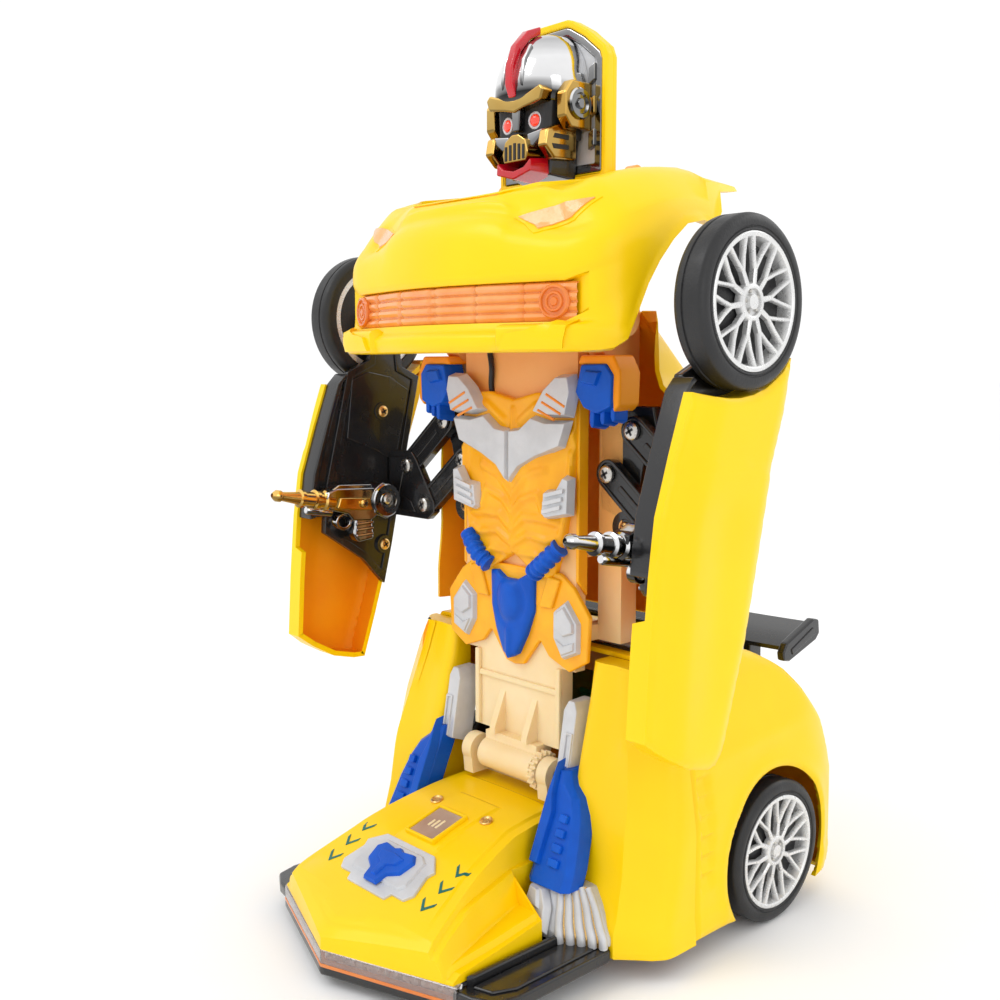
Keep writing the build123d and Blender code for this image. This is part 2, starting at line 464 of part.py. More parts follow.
# frame inside the hood: ears on the hood pin, and cheeks for the head hinge
with BuildPart() as hood_frame:
    for s in (-1, 1):
        x0 = 30.0 if s > 0 else -33.4
        with BuildSketch(side(x0)) as ear:
            with Locations((HOOD_Y, HOOD_Z)):
                Circle(4.6)
            with BuildLine():
                Polyline((-42.9, 158.5), (-33.8, 158.5), (-33.8, 191.2), (-42.9, 189.6), close=True)
            make_face()
        extrude(ear.sketch, amount=3.4)
        x1 = 21.8 if s > 0 else -24.6
        with BuildSketch(side(x1)) as cheek:
            with Locations((HEAD_Y, HEAD_Z)):
                Circle(2.2)
            with BuildLine():
                Polyline((-42.9, 182.0), (-42.9, 189.0), (-27.0, 191.9), (-25.0, 194.0), (-22.8, 193.4), (-22.8, 189.0), (-33.8, 182.0), close=True)
            make_face()
        extrude(cheek.sketch, amount=2.8)
        x2 = 24.4 if s > 0 else -30.2
        prism(side(x2), [(-42.9, 182.0), (-42.9, 186.0), (-36.0, 186.0), (-36.0, 182.0)], 5.8)
    rod(side(-36), (HOOD_Y, HOOD_Z), BORE_R, 72, Mode.SUBTRACT)
    rod(side(-26), (HEAD_Y, HEAD_Z), 1.06, 52, Mode.SUBTRACT)
finish(hood_frame, "hood_frame")

# ======================================================================= head
with BuildPart() as head_panel:
    prism(front(-27.0), [(-19.6, 193.0), (19.6, 193.0), (19.6, 223.0), (12.4, 230.2), (6.5, 234.0), (-6.5, 234.0), (-12.4, 230.2), (-19.6, 223.0)], 2.6)
    prism(front(-29.6), [(-17.6, 196.0), (17.6, 196.0), (17.6, 222.0), (11.4, 228.2), (5.8, 231.8), (-5.8, 231.8), (-11.4, 228.2), (-17.6, 222.0)], 1.0)
    for s in (-1, 1):
        x0 = 15.0 if s > 0 else -19.6
        prism(side(x0), [(-27.2, 192.8), (-27.2, 195.4), (-25.0, 195.9), (-25.0, 192.1)], 4.6)
        rod(side(x0), (HEAD_Y, HEAD_Z), 1.9, 4.6)
        rod(side(18.0 if s > 0 else -24.2), (HEAD_Y, HEAD_Z), 1.0, 6.2)
finish(head_panel, "head_panel")

with BuildPart() as helmet:
    prism(side(-9.5), [(-30.6, 197.0), (-30.6, 229.0), (-36.0, 230.0), (-42.0, 226.0), (-45.0, 217.0), (-43.0, 212.0), (-38.0, 212.0), (-38.0, 197.0)], 19.0)
    for s in (-1, 1):
        x0 = 9.5 if s > 0 else -12.5
        prism(side(x0), [(-30.6, 200.0), (-30.6, 224.0), (-36.0, 222.0), (-38.0, 214.0), (-38.0, 202.0)], 3.0)
finish(helmet, "helmet")

with BuildPart() as face_mask:
    prism(side(-8.0), [(-38.0, 197.5), (-38.0, 212.0), (-43.0, 212.0), (-43.6, 205.0), (-42.4, 197.5)], 16.0)
finish(face_mask, "face_mask")

# ======================================================================= arms
door = [(-58.0, 140.8), (-52.0, 139.8), (-43.2, 139.3), (-34.0, 141.2), (-27.0, 145.0), (-23.0, 148.0), (-25.5, 136.0),
        (-31.0, 120.6), (-39.0, 85.0), (-47.6, 57.8), (-58.8, 59.8), (-71.2, 67.6), (-68.7, 102.6), (-67.0, 115.0)]
with BuildPart() as door_left:
    prism(side(ARM_MID), door, ARM_OUT - ARM_MID)
    with BuildSketch(side(ARM_MID)) as door_pocket:
        with BuildLine():
            Polyline(*door, close=True)
        make_face()
        offset(amount=-2.0, kind=Kind.INTERSECTION)
    extrude(door_pocket.sketch, amount=ARM_OUT - ARM_MID - 2.0, mode=Mode.SUBTRACT)
finish(door_left, "door_left")

with BuildPart() as door_right:
    add(mirror(door_left.part, about=Plane.YZ, mode=Mode.PRIVATE))
finish(door_right, "door_right")

frame = [(-54.0, 144.4), (-46.0, 148.0), (-45.6, 163.0), (-35.6, 163.0), (-34.0, 146.0), (-27.5, 143.0), (-33.0, 118.0), (-38.5, 92.0), (-41.5, 80.0),
         (-49.4, 88.5), (-63.0, 97.5), (-62.0, 112.0)]
with BuildPart() as arm_frame_left:
    prism(side(ARM_IN), frame, ARM_MID - ARM_IN)
    # plate that carries the outer link pins
    with BuildPart(mode=Mode.PRIVATE) as lug:
        prism(front(-38.7), [(P1X + DX - 4.4, P1Z + DZ + 2.0), (P1X + DX - 2.0, P1Z + DZ + 4.4), (ARM_IN + 0.2, P1Z + DZ + 4.4),
                            (ARM_IN + 0.2, P2Z + DZ - 4.4), (P2X + DX - 2.0, P2Z + DZ - 4.4), (P2X + DX - 4.4, P2Z + DZ - 1.0)], 2.5)
        for px, pz in ((P1X, P1Z), (P2X, P2Z)):
            rod(front(-35.4), (px + DX, pz + DZ), 1.3 if px == P1X else 0.9, 3.5)
    add(lug.part)
    # stub axle for the front wheel
    rod(side(ARM_MID - 0.1), (FW_Y, FW_Z), 3.0, 0.4)
    rod(side(ARM_MID - 0.1), (FW_Y, FW_Z), PIN_R, 7.6)
    # gun boss
    rod(side(ARM_IN + 0.1), (GUN_Y, GUN_Z), 1.5, -8.5)
finish(arm_frame_left, "arm_frame_left")

with BuildPart() as arm_frame_right:
    add(mirror(arm_frame_left.part, about=Plane.YZ, mode=Mode.PRIVATE))
finish(arm_frame_right, "arm_frame_right")


def link_plate(px, pz, bore_in, bore_out):
    u = math.radians(LINK_DEG)
    cx, cz = px + DX / 2, pz + DZ / 2
    lp = Plane(origin=(cx, AXLE_Y - 35.5, cz), x_dir=(math.cos(u), 0, math.sin(u)), z_dir=(0, -1, 0))
    with BuildSketch(lp) as sk:
        SlotCenterToCenter(LINK, 7.4)
        with Locations((-LINK / 2, 0)):
            Circle(bore_in, mode=Mode.SUBTRACT)
        with Locations((LINK / 2, 0)):
            Circle(bore_out, mode=Mode.SUBTRACT)
    extrude(sk.sketch, amount=3.0)


with BuildPart() as link_upper_left:
    link_plate(P1X, P1Z, 1.36, 1.36)
finish(link_upper_left, "link_upper_left")

with BuildPart() as link_lower_left:
    link_plate(P2X, P2Z, 1.36, 1.5)
finish(link_lower_left, "link_lower_left")

with BuildPart() as link_upper_right:
    add(mirror(link_upper_left.part, about=Plane.YZ, mode=Mode.PRIVATE))
finish(link_upper_right, "link_upper_right")

with BuildPart() as link_lower_right:
    add(mirror(link_lower_left.part, about=Plane.YZ, mode=Mode.PRIVATE))
finish(link_lower_right, "link_lower_right")

with BuildPart() as front_tyre_left:
    rod(side(FRONT_FACE - WHEEL_W), (FW_Y, FW_Z), WHEEL_R, WHEEL_W)
    rod(side(FRONT_FACE - WHEEL_W), (FW_Y, FW_Z), 15.2, WHEEL_W, Mode.SUBTRACT)
finish(front_tyre_left, "front_tyre_left")

with BuildPart() as front_tyre_right:
    add(mirror(front_tyre_left.part, about=Plane.YZ, mode=Mode.PRIVATE))
finish(front_tyre_right, "front_tyre_right")

with BuildPart() as front_rim_left:
    rim(FRONT_FACE, 1, FW_Y, FW_Z, BORE_R)
finish(front_rim_left, "front_rim_left")

with BuildPart() as front_rim_right:
    add(mirror(front_rim_left.part, about=Plane.YZ, mode=Mode.PRIVATE))
finish(front_rim_right, "front_rim_right")

with BuildPart() as gun_left:
    prism(side(52.4), [(-42.2, 100.0), (-42.2, 108.0), (-50.0, 109.5), (-62.0, 110.5), (-66.0, 109.0), (-66.0, 104.0), (-58.0, 102.0), (-56.0, 95.5), (-51.0, 95.0), (-50.0, 100.0)], 7.6)
    with BuildSketch(Plane(origin=(56.2, AXLE_Y - 65.8, 106.8), x_dir=(1, 0, 0), z_dir=(0, -0.985, 0.174))) as barrel:
        Circle(1.9)
    extrude(barrel.sketch, amount=18.0)
    rod(side(51), (GUN_Y, GUN_Z), 1.56, 10, Mode.SUBTRACT)
finish(gun_left, "gun_left")

with BuildPart() as gun_right:
    add(mirror(gun_left.part, about=Plane.YZ, mode=Mode.PRIVATE))
finish(gun_right, "gun_right")
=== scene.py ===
import json
import math

import bmesh
import bpy
import numpy as np
from mathutils import Matrix, Vector
from mathutils.bvhtree import BVHTree


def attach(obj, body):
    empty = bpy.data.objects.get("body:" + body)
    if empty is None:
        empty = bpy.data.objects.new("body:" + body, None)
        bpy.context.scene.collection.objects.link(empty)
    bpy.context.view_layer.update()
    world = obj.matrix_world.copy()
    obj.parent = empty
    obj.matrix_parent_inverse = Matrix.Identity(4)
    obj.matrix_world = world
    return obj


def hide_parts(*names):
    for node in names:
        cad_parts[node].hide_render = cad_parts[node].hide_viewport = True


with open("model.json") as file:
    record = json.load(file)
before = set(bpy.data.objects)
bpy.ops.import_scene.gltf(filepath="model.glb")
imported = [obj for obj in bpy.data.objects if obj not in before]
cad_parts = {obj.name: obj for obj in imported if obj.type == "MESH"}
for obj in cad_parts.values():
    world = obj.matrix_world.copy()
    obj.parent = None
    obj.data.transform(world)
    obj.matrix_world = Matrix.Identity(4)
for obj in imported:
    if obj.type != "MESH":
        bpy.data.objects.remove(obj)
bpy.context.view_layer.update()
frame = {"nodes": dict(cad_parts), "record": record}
nodes = frame["nodes"]

# every shape below is written in millimetres from the rear axle's foot on the floor
MM = 0.001
AXLE_Y = 37.0


def W(p):
    return Vector((p[0] * MM, (p[1] + AXLE_Y) * MM, p[2] * MM))


# ---------------------------------------------------------------- materials
MATS = {}


def nodes_of(mat):
    mat.use_nodes = True
    nt = mat.node_tree
    nt.nodes.clear()
    out = nt.nodes.new("ShaderNodeOutputMaterial")
    bsdf = nt.nodes.new("ShaderNodeBsdfPrincipled")
    nt.links.new(bsdf.outputs[0], out.inputs[0])
    return nt, bsdf


def surface(
    name,
    a,
    b=None,
    rough=(0.25, 0.4),
    metal=0.0,
    coat=0.0,
    scale=90.0,
    bump=0.04,
    grain=1400.0,
    spec=0.5,
    trans=0.0,
    ior=1.46,
    sss=0.0,
    edge=0.0,
    emit=0.0,
    coat_rough=0.06,
):
    """A moulded, plated or rubber finish: colour drifts from a to b, roughness drifts, fine grain in the bump; edge
    paints a highlight by lightening convex edges.
    """
    mat = bpy.data.materials.new(name)
    nt, bsdf = nodes_of(mat)
    b = b or tuple(c * 0.93 for c in a)
    tc = nt.nodes.new("ShaderNodeTexCoord")
    n1 = nt.nodes.new("ShaderNodeTexNoise")
    n1.inputs["Scale"].default_value = scale
    n1.inputs["Detail"].default_value = 4.0
    n1.inputs["Roughness"].default_value = 0.55
    nt.links.new(tc.outputs["Object"], n1.inputs["Vector"])
    ramp = nt.nodes.new("ShaderNodeValToRGB")
    ramp.color_ramp.elements[0].position = 0.36
    ramp.color_ramp.elements[0].color = (*b, 1)
    ramp.color_ramp.elements[1].position = 0.66
    ramp.color_ramp.elements[1].color = (*a, 1)
    nt.links.new(n1.outputs["Fac"], ramp.inputs["Fac"])
    colour = ramp.outputs["Color"]
    # edge: convex edges (high pointiness) get up to this fraction more of their own colour, a painted highlight
    if edge:
        geo = nt.nodes.new("ShaderNodeNewGeometry")
        er = nt.nodes.new("ShaderNodeValToRGB")
        er.color_ramp.elements[0].position = 0.53
        er.color_ramp.elements[0].color = (0, 0, 0, 1)
        er.color_ramp.elements[1].position = 0.62
        er.color_ramp.elements[1].color = (edge, edge, edge, 1)
        nt.links.new(geo.outputs["Pointiness"], er.inputs["Fac"])
        mix = nt.nodes.new("ShaderNodeMix")
        mix.data_type = "RGBA"
        mix.blend_type = "ADD"
        nt.links.new(er.outputs["Color"], mix.inputs["Factor"])
        nt.links.new(colour, mix.inputs[6])
        nt.links.new(colour, mix.inputs[7])
        colour = mix.outputs[2]
    nt.links.new(colour, bsdf.inputs["Base Color"])
    mr = nt.nodes.new("ShaderNodeMapRange")
    mr.inputs["From Min"].default_value = 0.3
    mr.inputs["From Max"].default_value = 0.7
    mr.inputs["To Min"].default_value = rough[0]
    mr.inputs["To Max"].default_value = rough[1]
    n2 = nt.nodes.new("ShaderNodeTexNoise")
    n2.inputs["Scale"].default_value = scale * 3.1
    n2.inputs["Detail"].default_value = 5.0
    nt.links.new(tc.outputs["Object"], n2.inputs["Vector"])
    nt.links.new(n2.outputs["Fac"], mr.inputs["Value"])
    nt.links.new(mr.outputs["Result"], bsdf.inputs["Roughness"])
    n3 = nt.nodes.new("ShaderNodeTexNoise")
    n3.inputs["Scale"].default_value = grain
    n3.inputs["Detail"].default_value = 2.0
    nt.links.new(tc.outputs["Object"], n3.inputs["Vector"])
    bp = nt.nodes.new("ShaderNodeBump")
    bp.inputs["Strength"].default_value = bump
    bp.inputs["Distance"].default_value = 0.0004
    nt.links.new(n3.outputs["Fac"], bp.inputs["Height"])
    nt.links.new(bp.outputs["Normal"], bsdf.inputs["Normal"])
    bsdf.inputs["Metallic"].default_value = metal
    bsdf.inputs["Coat Weight"].default_value = coat
    bsdf.inputs["Coat Roughness"].default_value = coat_rough
    bsdf.inputs["Specular IOR Level"].default_value = spec
    bsdf.inputs["IOR"].default_value = ior
    bsdf.inputs["Transmission Weight"].default_value = trans
    if sss:
        bsdf.inputs["Subsurface Weight"].default_value = sss
        bsdf.inputs["Subsurface Radius"].default_value = (0.004, 0.0018, 0.0004)
        bsdf.inputs["Subsurface Scale"].default_value = 1.0
    if emit:
        bsdf.inputs["Emission Strength"].default_value = emit
        bsdf.inputs["Emission Color"].default_value = (*a, 1)
    MATS[name] = mat
    return mat


YEL = surface("paint_yellow", (1.0, 0.66, 0.0), (0.985, 0.625, 0.0), rough=(0.3, 0.42), coat=0.08, scale=30, bump=0.05, coat_rough=0.1, spec=0.3)
YEL2 = surface("shell_yellow", (0.99, 0.64, 0.0), (0.96, 0.60, 0.0), rough=(0.34, 0.46), coat=0.05, scale=40, bump=0.07, coat_rough=0.18, spec=0.3)
# Shell insides: the yellow as it looks in shade, painted orange, since the shells are yellow plastic through. The
# shoulder pad casings use the same orange.
SHADE_ORANGE = surface("painted_shade_orange", (0.97, 0.36, 0.004), (0.93, 0.29, 0.003), rough=(0.38, 0.52), scale=45, bump=0.08, spec=0.3)
ORANGE = surface("chest_orange", (0.98, 0.47, 0.006), (0.94, 0.40, 0.004), rough=(0.28, 0.42), coat=0.15, scale=120, bump=0.1, spec=0.35)
# silver, blue and black carry painted edge highlights through edge=
SILVER = surface("silver_paint", (0.60, 0.61, 0.63), (0.53, 0.54, 0.56), rough=(0.34, 0.46), metal=0.25, scale=150, bump=0.12, grain=2600, edge=0.2)
BLUE = surface("blue_paint", (0.002, 0.095, 0.56), (0.002, 0.078, 0.48), rough=(0.34, 0.46), scale=120, bump=0.1, edge=0.3, spec=0.25)
CREAM = surface("frame_cream", (0.92, 0.74, 0.45), (0.88, 0.67, 0.36), rough=(0.36, 0.5), scale=60, bump=0.08, sss=0.12)
PEACHY = surface("frame_peach", (0.95, 0.50, 0.16), (0.92, 0.42, 0.11), rough=(0.36, 0.5), scale=60, bump=0.08, sss=0.12)
WHITE = surface("gear_white", (0.86, 0.85, 0.80), (0.80, 0.79, 0.73), rough=(0.35, 0.5), scale=80, bump=0.06, sss=0.1)
BLACK = surface("black_plastic", (0.012, 0.012, 0.013), (0.008, 0.008, 0.009), rough=(0.16, 0.3), coat=0.35, scale=60, bump=0.08, edge=0.6)
MATTE = surface("black_matte", (0.018, 0.018, 0.019), (0.012, 0.012, 0.013), rough=(0.38, 0.55), scale=90, bump=0.18, grain=2200)
TYRE = surface("tyre_rubber", (0.016, 0.016, 0.017), (0.011, 0.011, 0.012), rough=(0.36, 0.52), scale=80, bump=0.16, grain=1800)
RIM = surface("rim_silver", (0.80, 0.80, 0.79), (0.72, 0.72, 0.72), rough=(0.22, 0.34), metal=0.55, scale=150, bump=0.06, grain=2600)
CHROME = surface("chrome_plate", (0.90, 0.90, 0.90), (0.82, 0.82, 0.83), rough=(0.05, 0.13), metal=1.0, scale=70, bump=0.03, grain=900)
GOLD = surface("chrome_gold", (0.98, 0.66, 0.20), (0.92, 0.56, 0.14), rough=(0.08, 0.18), metal=1.0, scale=70, bump=0.03, grain=900)
STEEL = surface("steel_screw", (0.62, 0.60, 0.56), (0.50, 0.48, 0.45), rough=(0.22, 0.36), metal=1.0, scale=400, bump=0.1)
BRASS = surface("brass_screw", (0.80, 0.52, 0.20), (0.70, 0.43, 0.15), rough=(0.22, 0.36), metal=1.0, scale=400, bump=0.1)
RED = surface("red_gloss", (0.62, 0.005, 0.02), (0.52, 0.004, 0.014), rough=(0.15, 0.28), coat=0.5, scale=120, bump=0.05)
EYE = surface("eye_red", (0.95, 0.05, 0.02), (0.9, 0.03, 0.01), rough=(0.1, 0.2), coat=1.0, scale=200, bump=0.02, emit=0.25)
AMBER = surface("amber_lens", (0.98, 0.42, 0.13), (0.95, 0.33, 0.07), rough=(0.10, 0.2), coat=0.6, scale=120, bump=0.05, trans=0.12)
AMBER_D = surface("amber_deep", (0.95, 0.30, 0.06), (0.90, 0.23, 0.03), rough=(0.15, 0.25), coat=0.4, scale=160, bump=0.05, trans=0.2)
PEACH = surface("lamp_peach", (0.98, 0.50, 0.18), (0.96, 0.43, 0.12), rough=(0.08, 0.16), coat=0.6, scale=420, bump=0.2, trans=0.08)
CLEAR = surface("clear_lens", (0.93, 0.88, 0.87), (0.88, 0.83, 0.82), rough=(0.03, 0.08), coat=0.5, scale=120, bump=0.02, trans=0.9)
SMOKE = surface("window_smoke", (0.62, 0.45, 0.36), (0.52, 0.36, 0.28), rough=(0.12, 0.2), coat=0.6, scale=160, bump=0.03, trans=0.25)
REDL = surface("red_lens", (0.72, 0.01, 0.01), (0.62, 0.006, 0.008), rough=(0.1, 0.2), coat=0.6, scale=120, bump=0.04, trans=0.4)
CELL = surface("cell_wrap", (0.04, 0.22, 0.07), (0.03, 0.18, 0.05), rough=(0.25, 0.4), scale=120, bump=0.04)
BOARD = surface("board_green", (0.01, 0.14, 0.05), (0.008, 0.11, 0.04), rough=(0.35, 0.5), scale=200, bump=0.1)
TEAL = surface("chevron_teal", (0.0, 0.16, 0.13), (0.0, 0.13, 0.11), rough=(0.35, 0.45), scale=200, bump=0.04)
LEAD = surface("lead_black", (0.014, 0.014, 0.015), (0.01, 0.01, 0.011), rough=(0.35, 0.5), scale=200, bump=0.1)
LINE = surface("line_orange", (0.90, 0.30, 0.03), (0.82, 0.25, 0.02), rough=(0.35, 0.45), scale=200, bump=0.04)

# Painted reflection: multiplies the base colour by a ramp on the height of the surface normal. It is dark facing down
# and in a band at the horizon, light facing up, as chrome reflects its surroundings.
def paint_horizon_reflection(mat, stops):
    nt = mat.node_tree
    bsdf = next(n for n in nt.nodes if n.type == "BSDF_PRINCIPLED")
    old = bsdf.inputs["Base Color"].links[0].from_socket
    geo = nt.nodes.new("ShaderNodeNewGeometry")
    sep = nt.nodes.new("ShaderNodeSeparateXYZ")
    nt.links.new(geo.outputs["Normal"], sep.inputs[0])
    mr = nt.nodes.new("ShaderNodeMapRange")
    mr.inputs["From Min"].default_value = -1.0
    mr.inputs["From Max"].default_value = 1.0
    nt.links.new(sep.outputs["Z"], mr.inputs["Value"])
    ramp = nt.nodes.new("ShaderNodeValToRGB")
    el = ramp.color_ramp.elements
    el[0].position, el[0].color = stops[0][0], (*[stops[0][1]] * 3, 1)
    el[1].position, el[1].color = stops[-1][0], (*[stops[-1][1]] * 3, 1)
    for p, v in stops[1:-1]:
        e = el.new(p)
        e.color = (v, v, v, 1)
    nt.links.new(mr.outputs["Result"], ramp.inputs["Fac"])
    mix = nt.nodes.new("ShaderNodeMix")
    mix.data_type = "RGBA"
    mix.blend_type = "MULTIPLY"
    mix.inputs["Factor"].default_value = 1.0
    nt.links.new(old, mix.inputs[6])
    nt.links.new(ramp.outputs["Color"], mix.inputs[7])
    nt.links.new(mix.outputs[2], bsdf.inputs["Base Color"])


# chrome and gold get a painted reflection of a dark horizon band and a light sky
paint_horizon_reflection(CHROME, [(0.0, 0.25), (0.3, 0.08), (0.44, 0.03), (0.5, 0.3), (0.56, 0.9), (0.72, 1.0), (0.9, 0.55), (1.0, 0.85)])
paint_horizon_reflection(GOLD, [(0.0, 0.4), (0.36, 0.25), (0.47, 0.35), (0.56, 1.0), (1.0, 0.9)])

def grade(mat, z0, z1, tint):
    nt = mat.node_tree
    bsdf = next(n for n in nt.nodes if n.type == "BSDF_PRINCIPLED")
    old = bsdf.inputs["Base Color"].links[0].from_socket
    tc = nt.nodes.new("ShaderNodeTexCoord")
    sep = nt.nodes.new("ShaderNodeSeparateXYZ")
    nt.links.new(tc.outputs["Object"], sep.inputs[0])
    mr = nt.nodes.new("ShaderNodeMapRange")
    mr.inputs["From Min"].default_value = z0
    mr.inputs["From Max"].default_value = z1
    nt.links.new(sep.outputs["Z"], mr.inputs["Value"])
    ramp = nt.nodes.new("ShaderNodeValToRGB")
    ramp.color_ramp.elements[0].color = (1, 1, 1, 1)
    ramp.color_ramp.elements[1].color = (*tint, 1)
    nt.links.new(mr.outputs["Result"], ramp.inputs["Fac"])
    mix = nt.nodes.new("ShaderNodeMix")
    mix.data_type = "RGBA"
    mix.blend_type = "MULTIPLY"
    mix.inputs["Factor"].default_value = 1.0
    nt.links.new(old, mix.inputs[6])
    nt.links.new(ramp.outputs["Color"], mix.inputs[7])
    nt.links.new(mix.outputs[2], bsdf.inputs["Base Color"])


grade(CREAM, 0.078, 0.100, (1.0, 0.62, 0.30))

SLOT_MATS = {
    "body_yellow": YEL2,
    "chest_orange": ORANGE,
    "silver_paint": SILVER,
    "blue_paint": BLUE,
    "frame_cream": CREAM,
    "black_plastic": BLACK,
    "tyre_rubber": TYRE,
    "rim_silver": RIM,
    "chrome_plate": CHROME,
    "amber_lens": AMBER,
    "clear_lens": CLEAR,
    "red_lens": REDL,
    "steel": STEEL,
    "cell_wrap": CELL,
    "board_green": BOARD,
    "gear_white": WHITE,
}
slot_of = {p["node"]: p["material_slot"] for p in frame["record"]["subparts"]}
for n, o in nodes.items():
    mat = SLOT_MATS.get(slot_of.get(n, "black_plastic"), BLACK)
    if not o.data.materials:
        o.data.materials.append(mat)
    for i in range(len(o.material_slots)):
        o.material_slots[i].material = mat
    o.data.polygons.foreach_set("use_smooth", [True] * len(o.data.polygons))
    o.data.set_sharp_from_angle(angle=math.radians(28))

for s, m in SLOT_MATS.items():
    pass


# ---------------------------------------------------------------- mesh tools
def make(name, verts, faces, mat, body, world=False, fidx=None, mats=None):
    me = bpy.data.meshes.new(name)
    me.from_pydata([tuple(v) if world else tuple(W(v)) for v in verts], [], [tuple(f) for f in faces])
    for m in mats or [mat]:
        me.materials.append(m)
    if fidx is not None:
        for p, i in zip(me.polygons, fidx):
            p.material_index = i
    me.update()
    o = bpy.data.objects.new(name, me)
    bpy.context.scene.collection.objects.link(o)
    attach(o, body)
    return o


def tidy(o, merge=1e-6, normals=True):
    bm = bmesh.new()
    bm.from_mesh(o.data)
    bmesh.ops.remove_doubles(bm, verts=bm.verts, dist=merge)
    if normals:
        bmesh.ops.recalc_face_normals(bm, faces=bm.faces)
    bm.to_mesh(o.data)
    bm.free()
    o.data.update()
    return o


def soften(o, bevel=0.4, seg=2, angle=32, sharp=38, weighted=True):
    """Rounded edges, then smooth shading that keeps the real corners."""
    me = o.data
    me.polygons.foreach_set("use_smooth", [True] * len(me.polygons))
    if bevel:
        m = o.modifiers.new("bevel", "BEVEL")
        m.width = bevel * MM
        m.segments = seg
        m.limit_method = "ANGLE"
        m.angle_limit = math.radians(angle)
        m.harden_normals = False
        m.use_clamp_overlap = True
        m.miter_outer = "MITER_ARC"
    else:
        me.set_sharp_from_angle(angle=math.radians(sharp))
    if weighted and bevel:
        w = o.modifiers.new("wn", "WEIGHTED_NORMAL")
        w.keep_sharp = True
        w.weight = 60
    return o


def apply_mods(o):
    dg = bpy.context.evaluated_depsgraph_get()
    dg.update()
    me = bpy.data.meshes.new_from_object(o.evaluated_get(dg), depsgraph=dg)
    old = o.data
    o.modifiers.clear()
    o.data = me
    bpy.data.meshes.remove(old)
    return o


PLANES = {
    "side": (Vector((0, 1, 0)), Vector((0, 0, 1)), Vector((1, 0, 0))),
    "front": (Vector((1, 0, 0)), Vector((0, 0, 1)), Vector((0, 1, 0))),
    "level": (Vector((1, 0, 0)), Vector((0, 1, 0)), Vector((0, 0, 1))),
}


def axes(plane):
    """plane is a name, or (origin, ex, ey, n)."""
    if isinstance(plane, str):
        ex, ey, n = PLANES[plane]
        return Vector((0, 0, 0)), ex, ey, n
    o, ex, ey, n = (Vector(v) for v in plane)
    return o, ex.normalized(), ey.normalized(), n.normalized()


def plate(name, pts, plane, t0, t1, mat, body, bevel=0.4, seg=2, holes=(), angle=32, top=None, top_scale=None, back=True):
    """A flat part cut to an outline, between two heights along the plane's normal, edges rounded. Holes are other outlines."""
    o0, ex, ey, n = axes(plane)
    if holes:
        bm = bmesh.new()
        edges = []
        for ring in [pts] + list(holes):
            vs = [bm.verts.new(o0 + ex * p[0] + ey * p[1] + n * t0) for p in ring]
            for i in range(len(vs)):
                edges.append(bm.edges.new((vs[i], vs[(i + 1) % len(vs)])))
        bmesh.ops.triangle_fill(bm, use_beauty=True, use_dissolve=False, edges=edges)
        faces = list(bm.faces)
        r = bmesh.ops.extrude_face_region(bm, geom=faces)
        vs = [g for g in r["geom"] if isinstance(g, bmesh.types.BMVert)]
        bmesh.ops.translate(bm, verts=vs, vec=n * (t1 - t0))
        bmesh.ops.dissolve_limit(bm, angle_limit=math.radians(1), verts=bm.verts, edges=bm.edges)
        bm.verts.index_update()
        verts = [v.co.copy() for v in bm.verts]
        fs = [[v.index for v in f.verts] for f in bm.faces]
        bm.free()
    else:
        k = len(pts)
        verts = [o0 + ex * p[0] + ey * p[1] + n * t0 for p in pts] + [o0 + ex * p[0] + ey * p[1] + n * t1 for p in (top or pts)]
        fs = [list(range(k))[::-1], list(range(k, 2 * k))]
        fs += [[i, (i + 1) % k, k + (i + 1) % k, k + i] for i in range(k)]
    o = make(name, verts, fs, mat, body)
    tidy(o)
    return soften(o, bevel, seg, angle) if bevel else soften(o, 0)


def crown(name, pts, plane, t0, t1, mat, body, inset=1.2, bevel=0.25, seg=2, rise=None, angle=28):
    """An outline with a sloped shoulder: the top face is the outline drawn in by inset."""
    c = inset_poly(pts, inset)
    return plate(name, pts, plane, t0, t1, mat, body, bevel, seg, top=c, angle=angle)


def inset_poly(pts, d):
    """Draws a polygon in by d, keeping its corners matched."""
    n = len(pts)
    area = sum(pts[i][0] * pts[(i + 1) % n][1] - pts[(i + 1) % n][0] * pts[i][1] for i in range(n))
    sgn = 1 if area > 0 else -1
    out = []
    for i in range(n):
        p0, p1, p2 = Vector(pts[i - 1][:2]), Vector(pts[i][:2]), Vector(pts[(i + 1) % n][:2])
        e1, e2 = (p1 - p0).normalized(), (p2 - p1).normalized()
        n1, n2 = Vector((-e1.y, e1.x)) * sgn, Vector((-e2.y, e2.x)) * sgn
        b = n1 + n2
        if b.length < 1e-6:
            out.append(tuple(p1 + n1 * d))
            continue
        b.normalize()
        k = d / max(0.35, b.dot(n1))
        out.append(tuple(p1 + b * k))
    return out


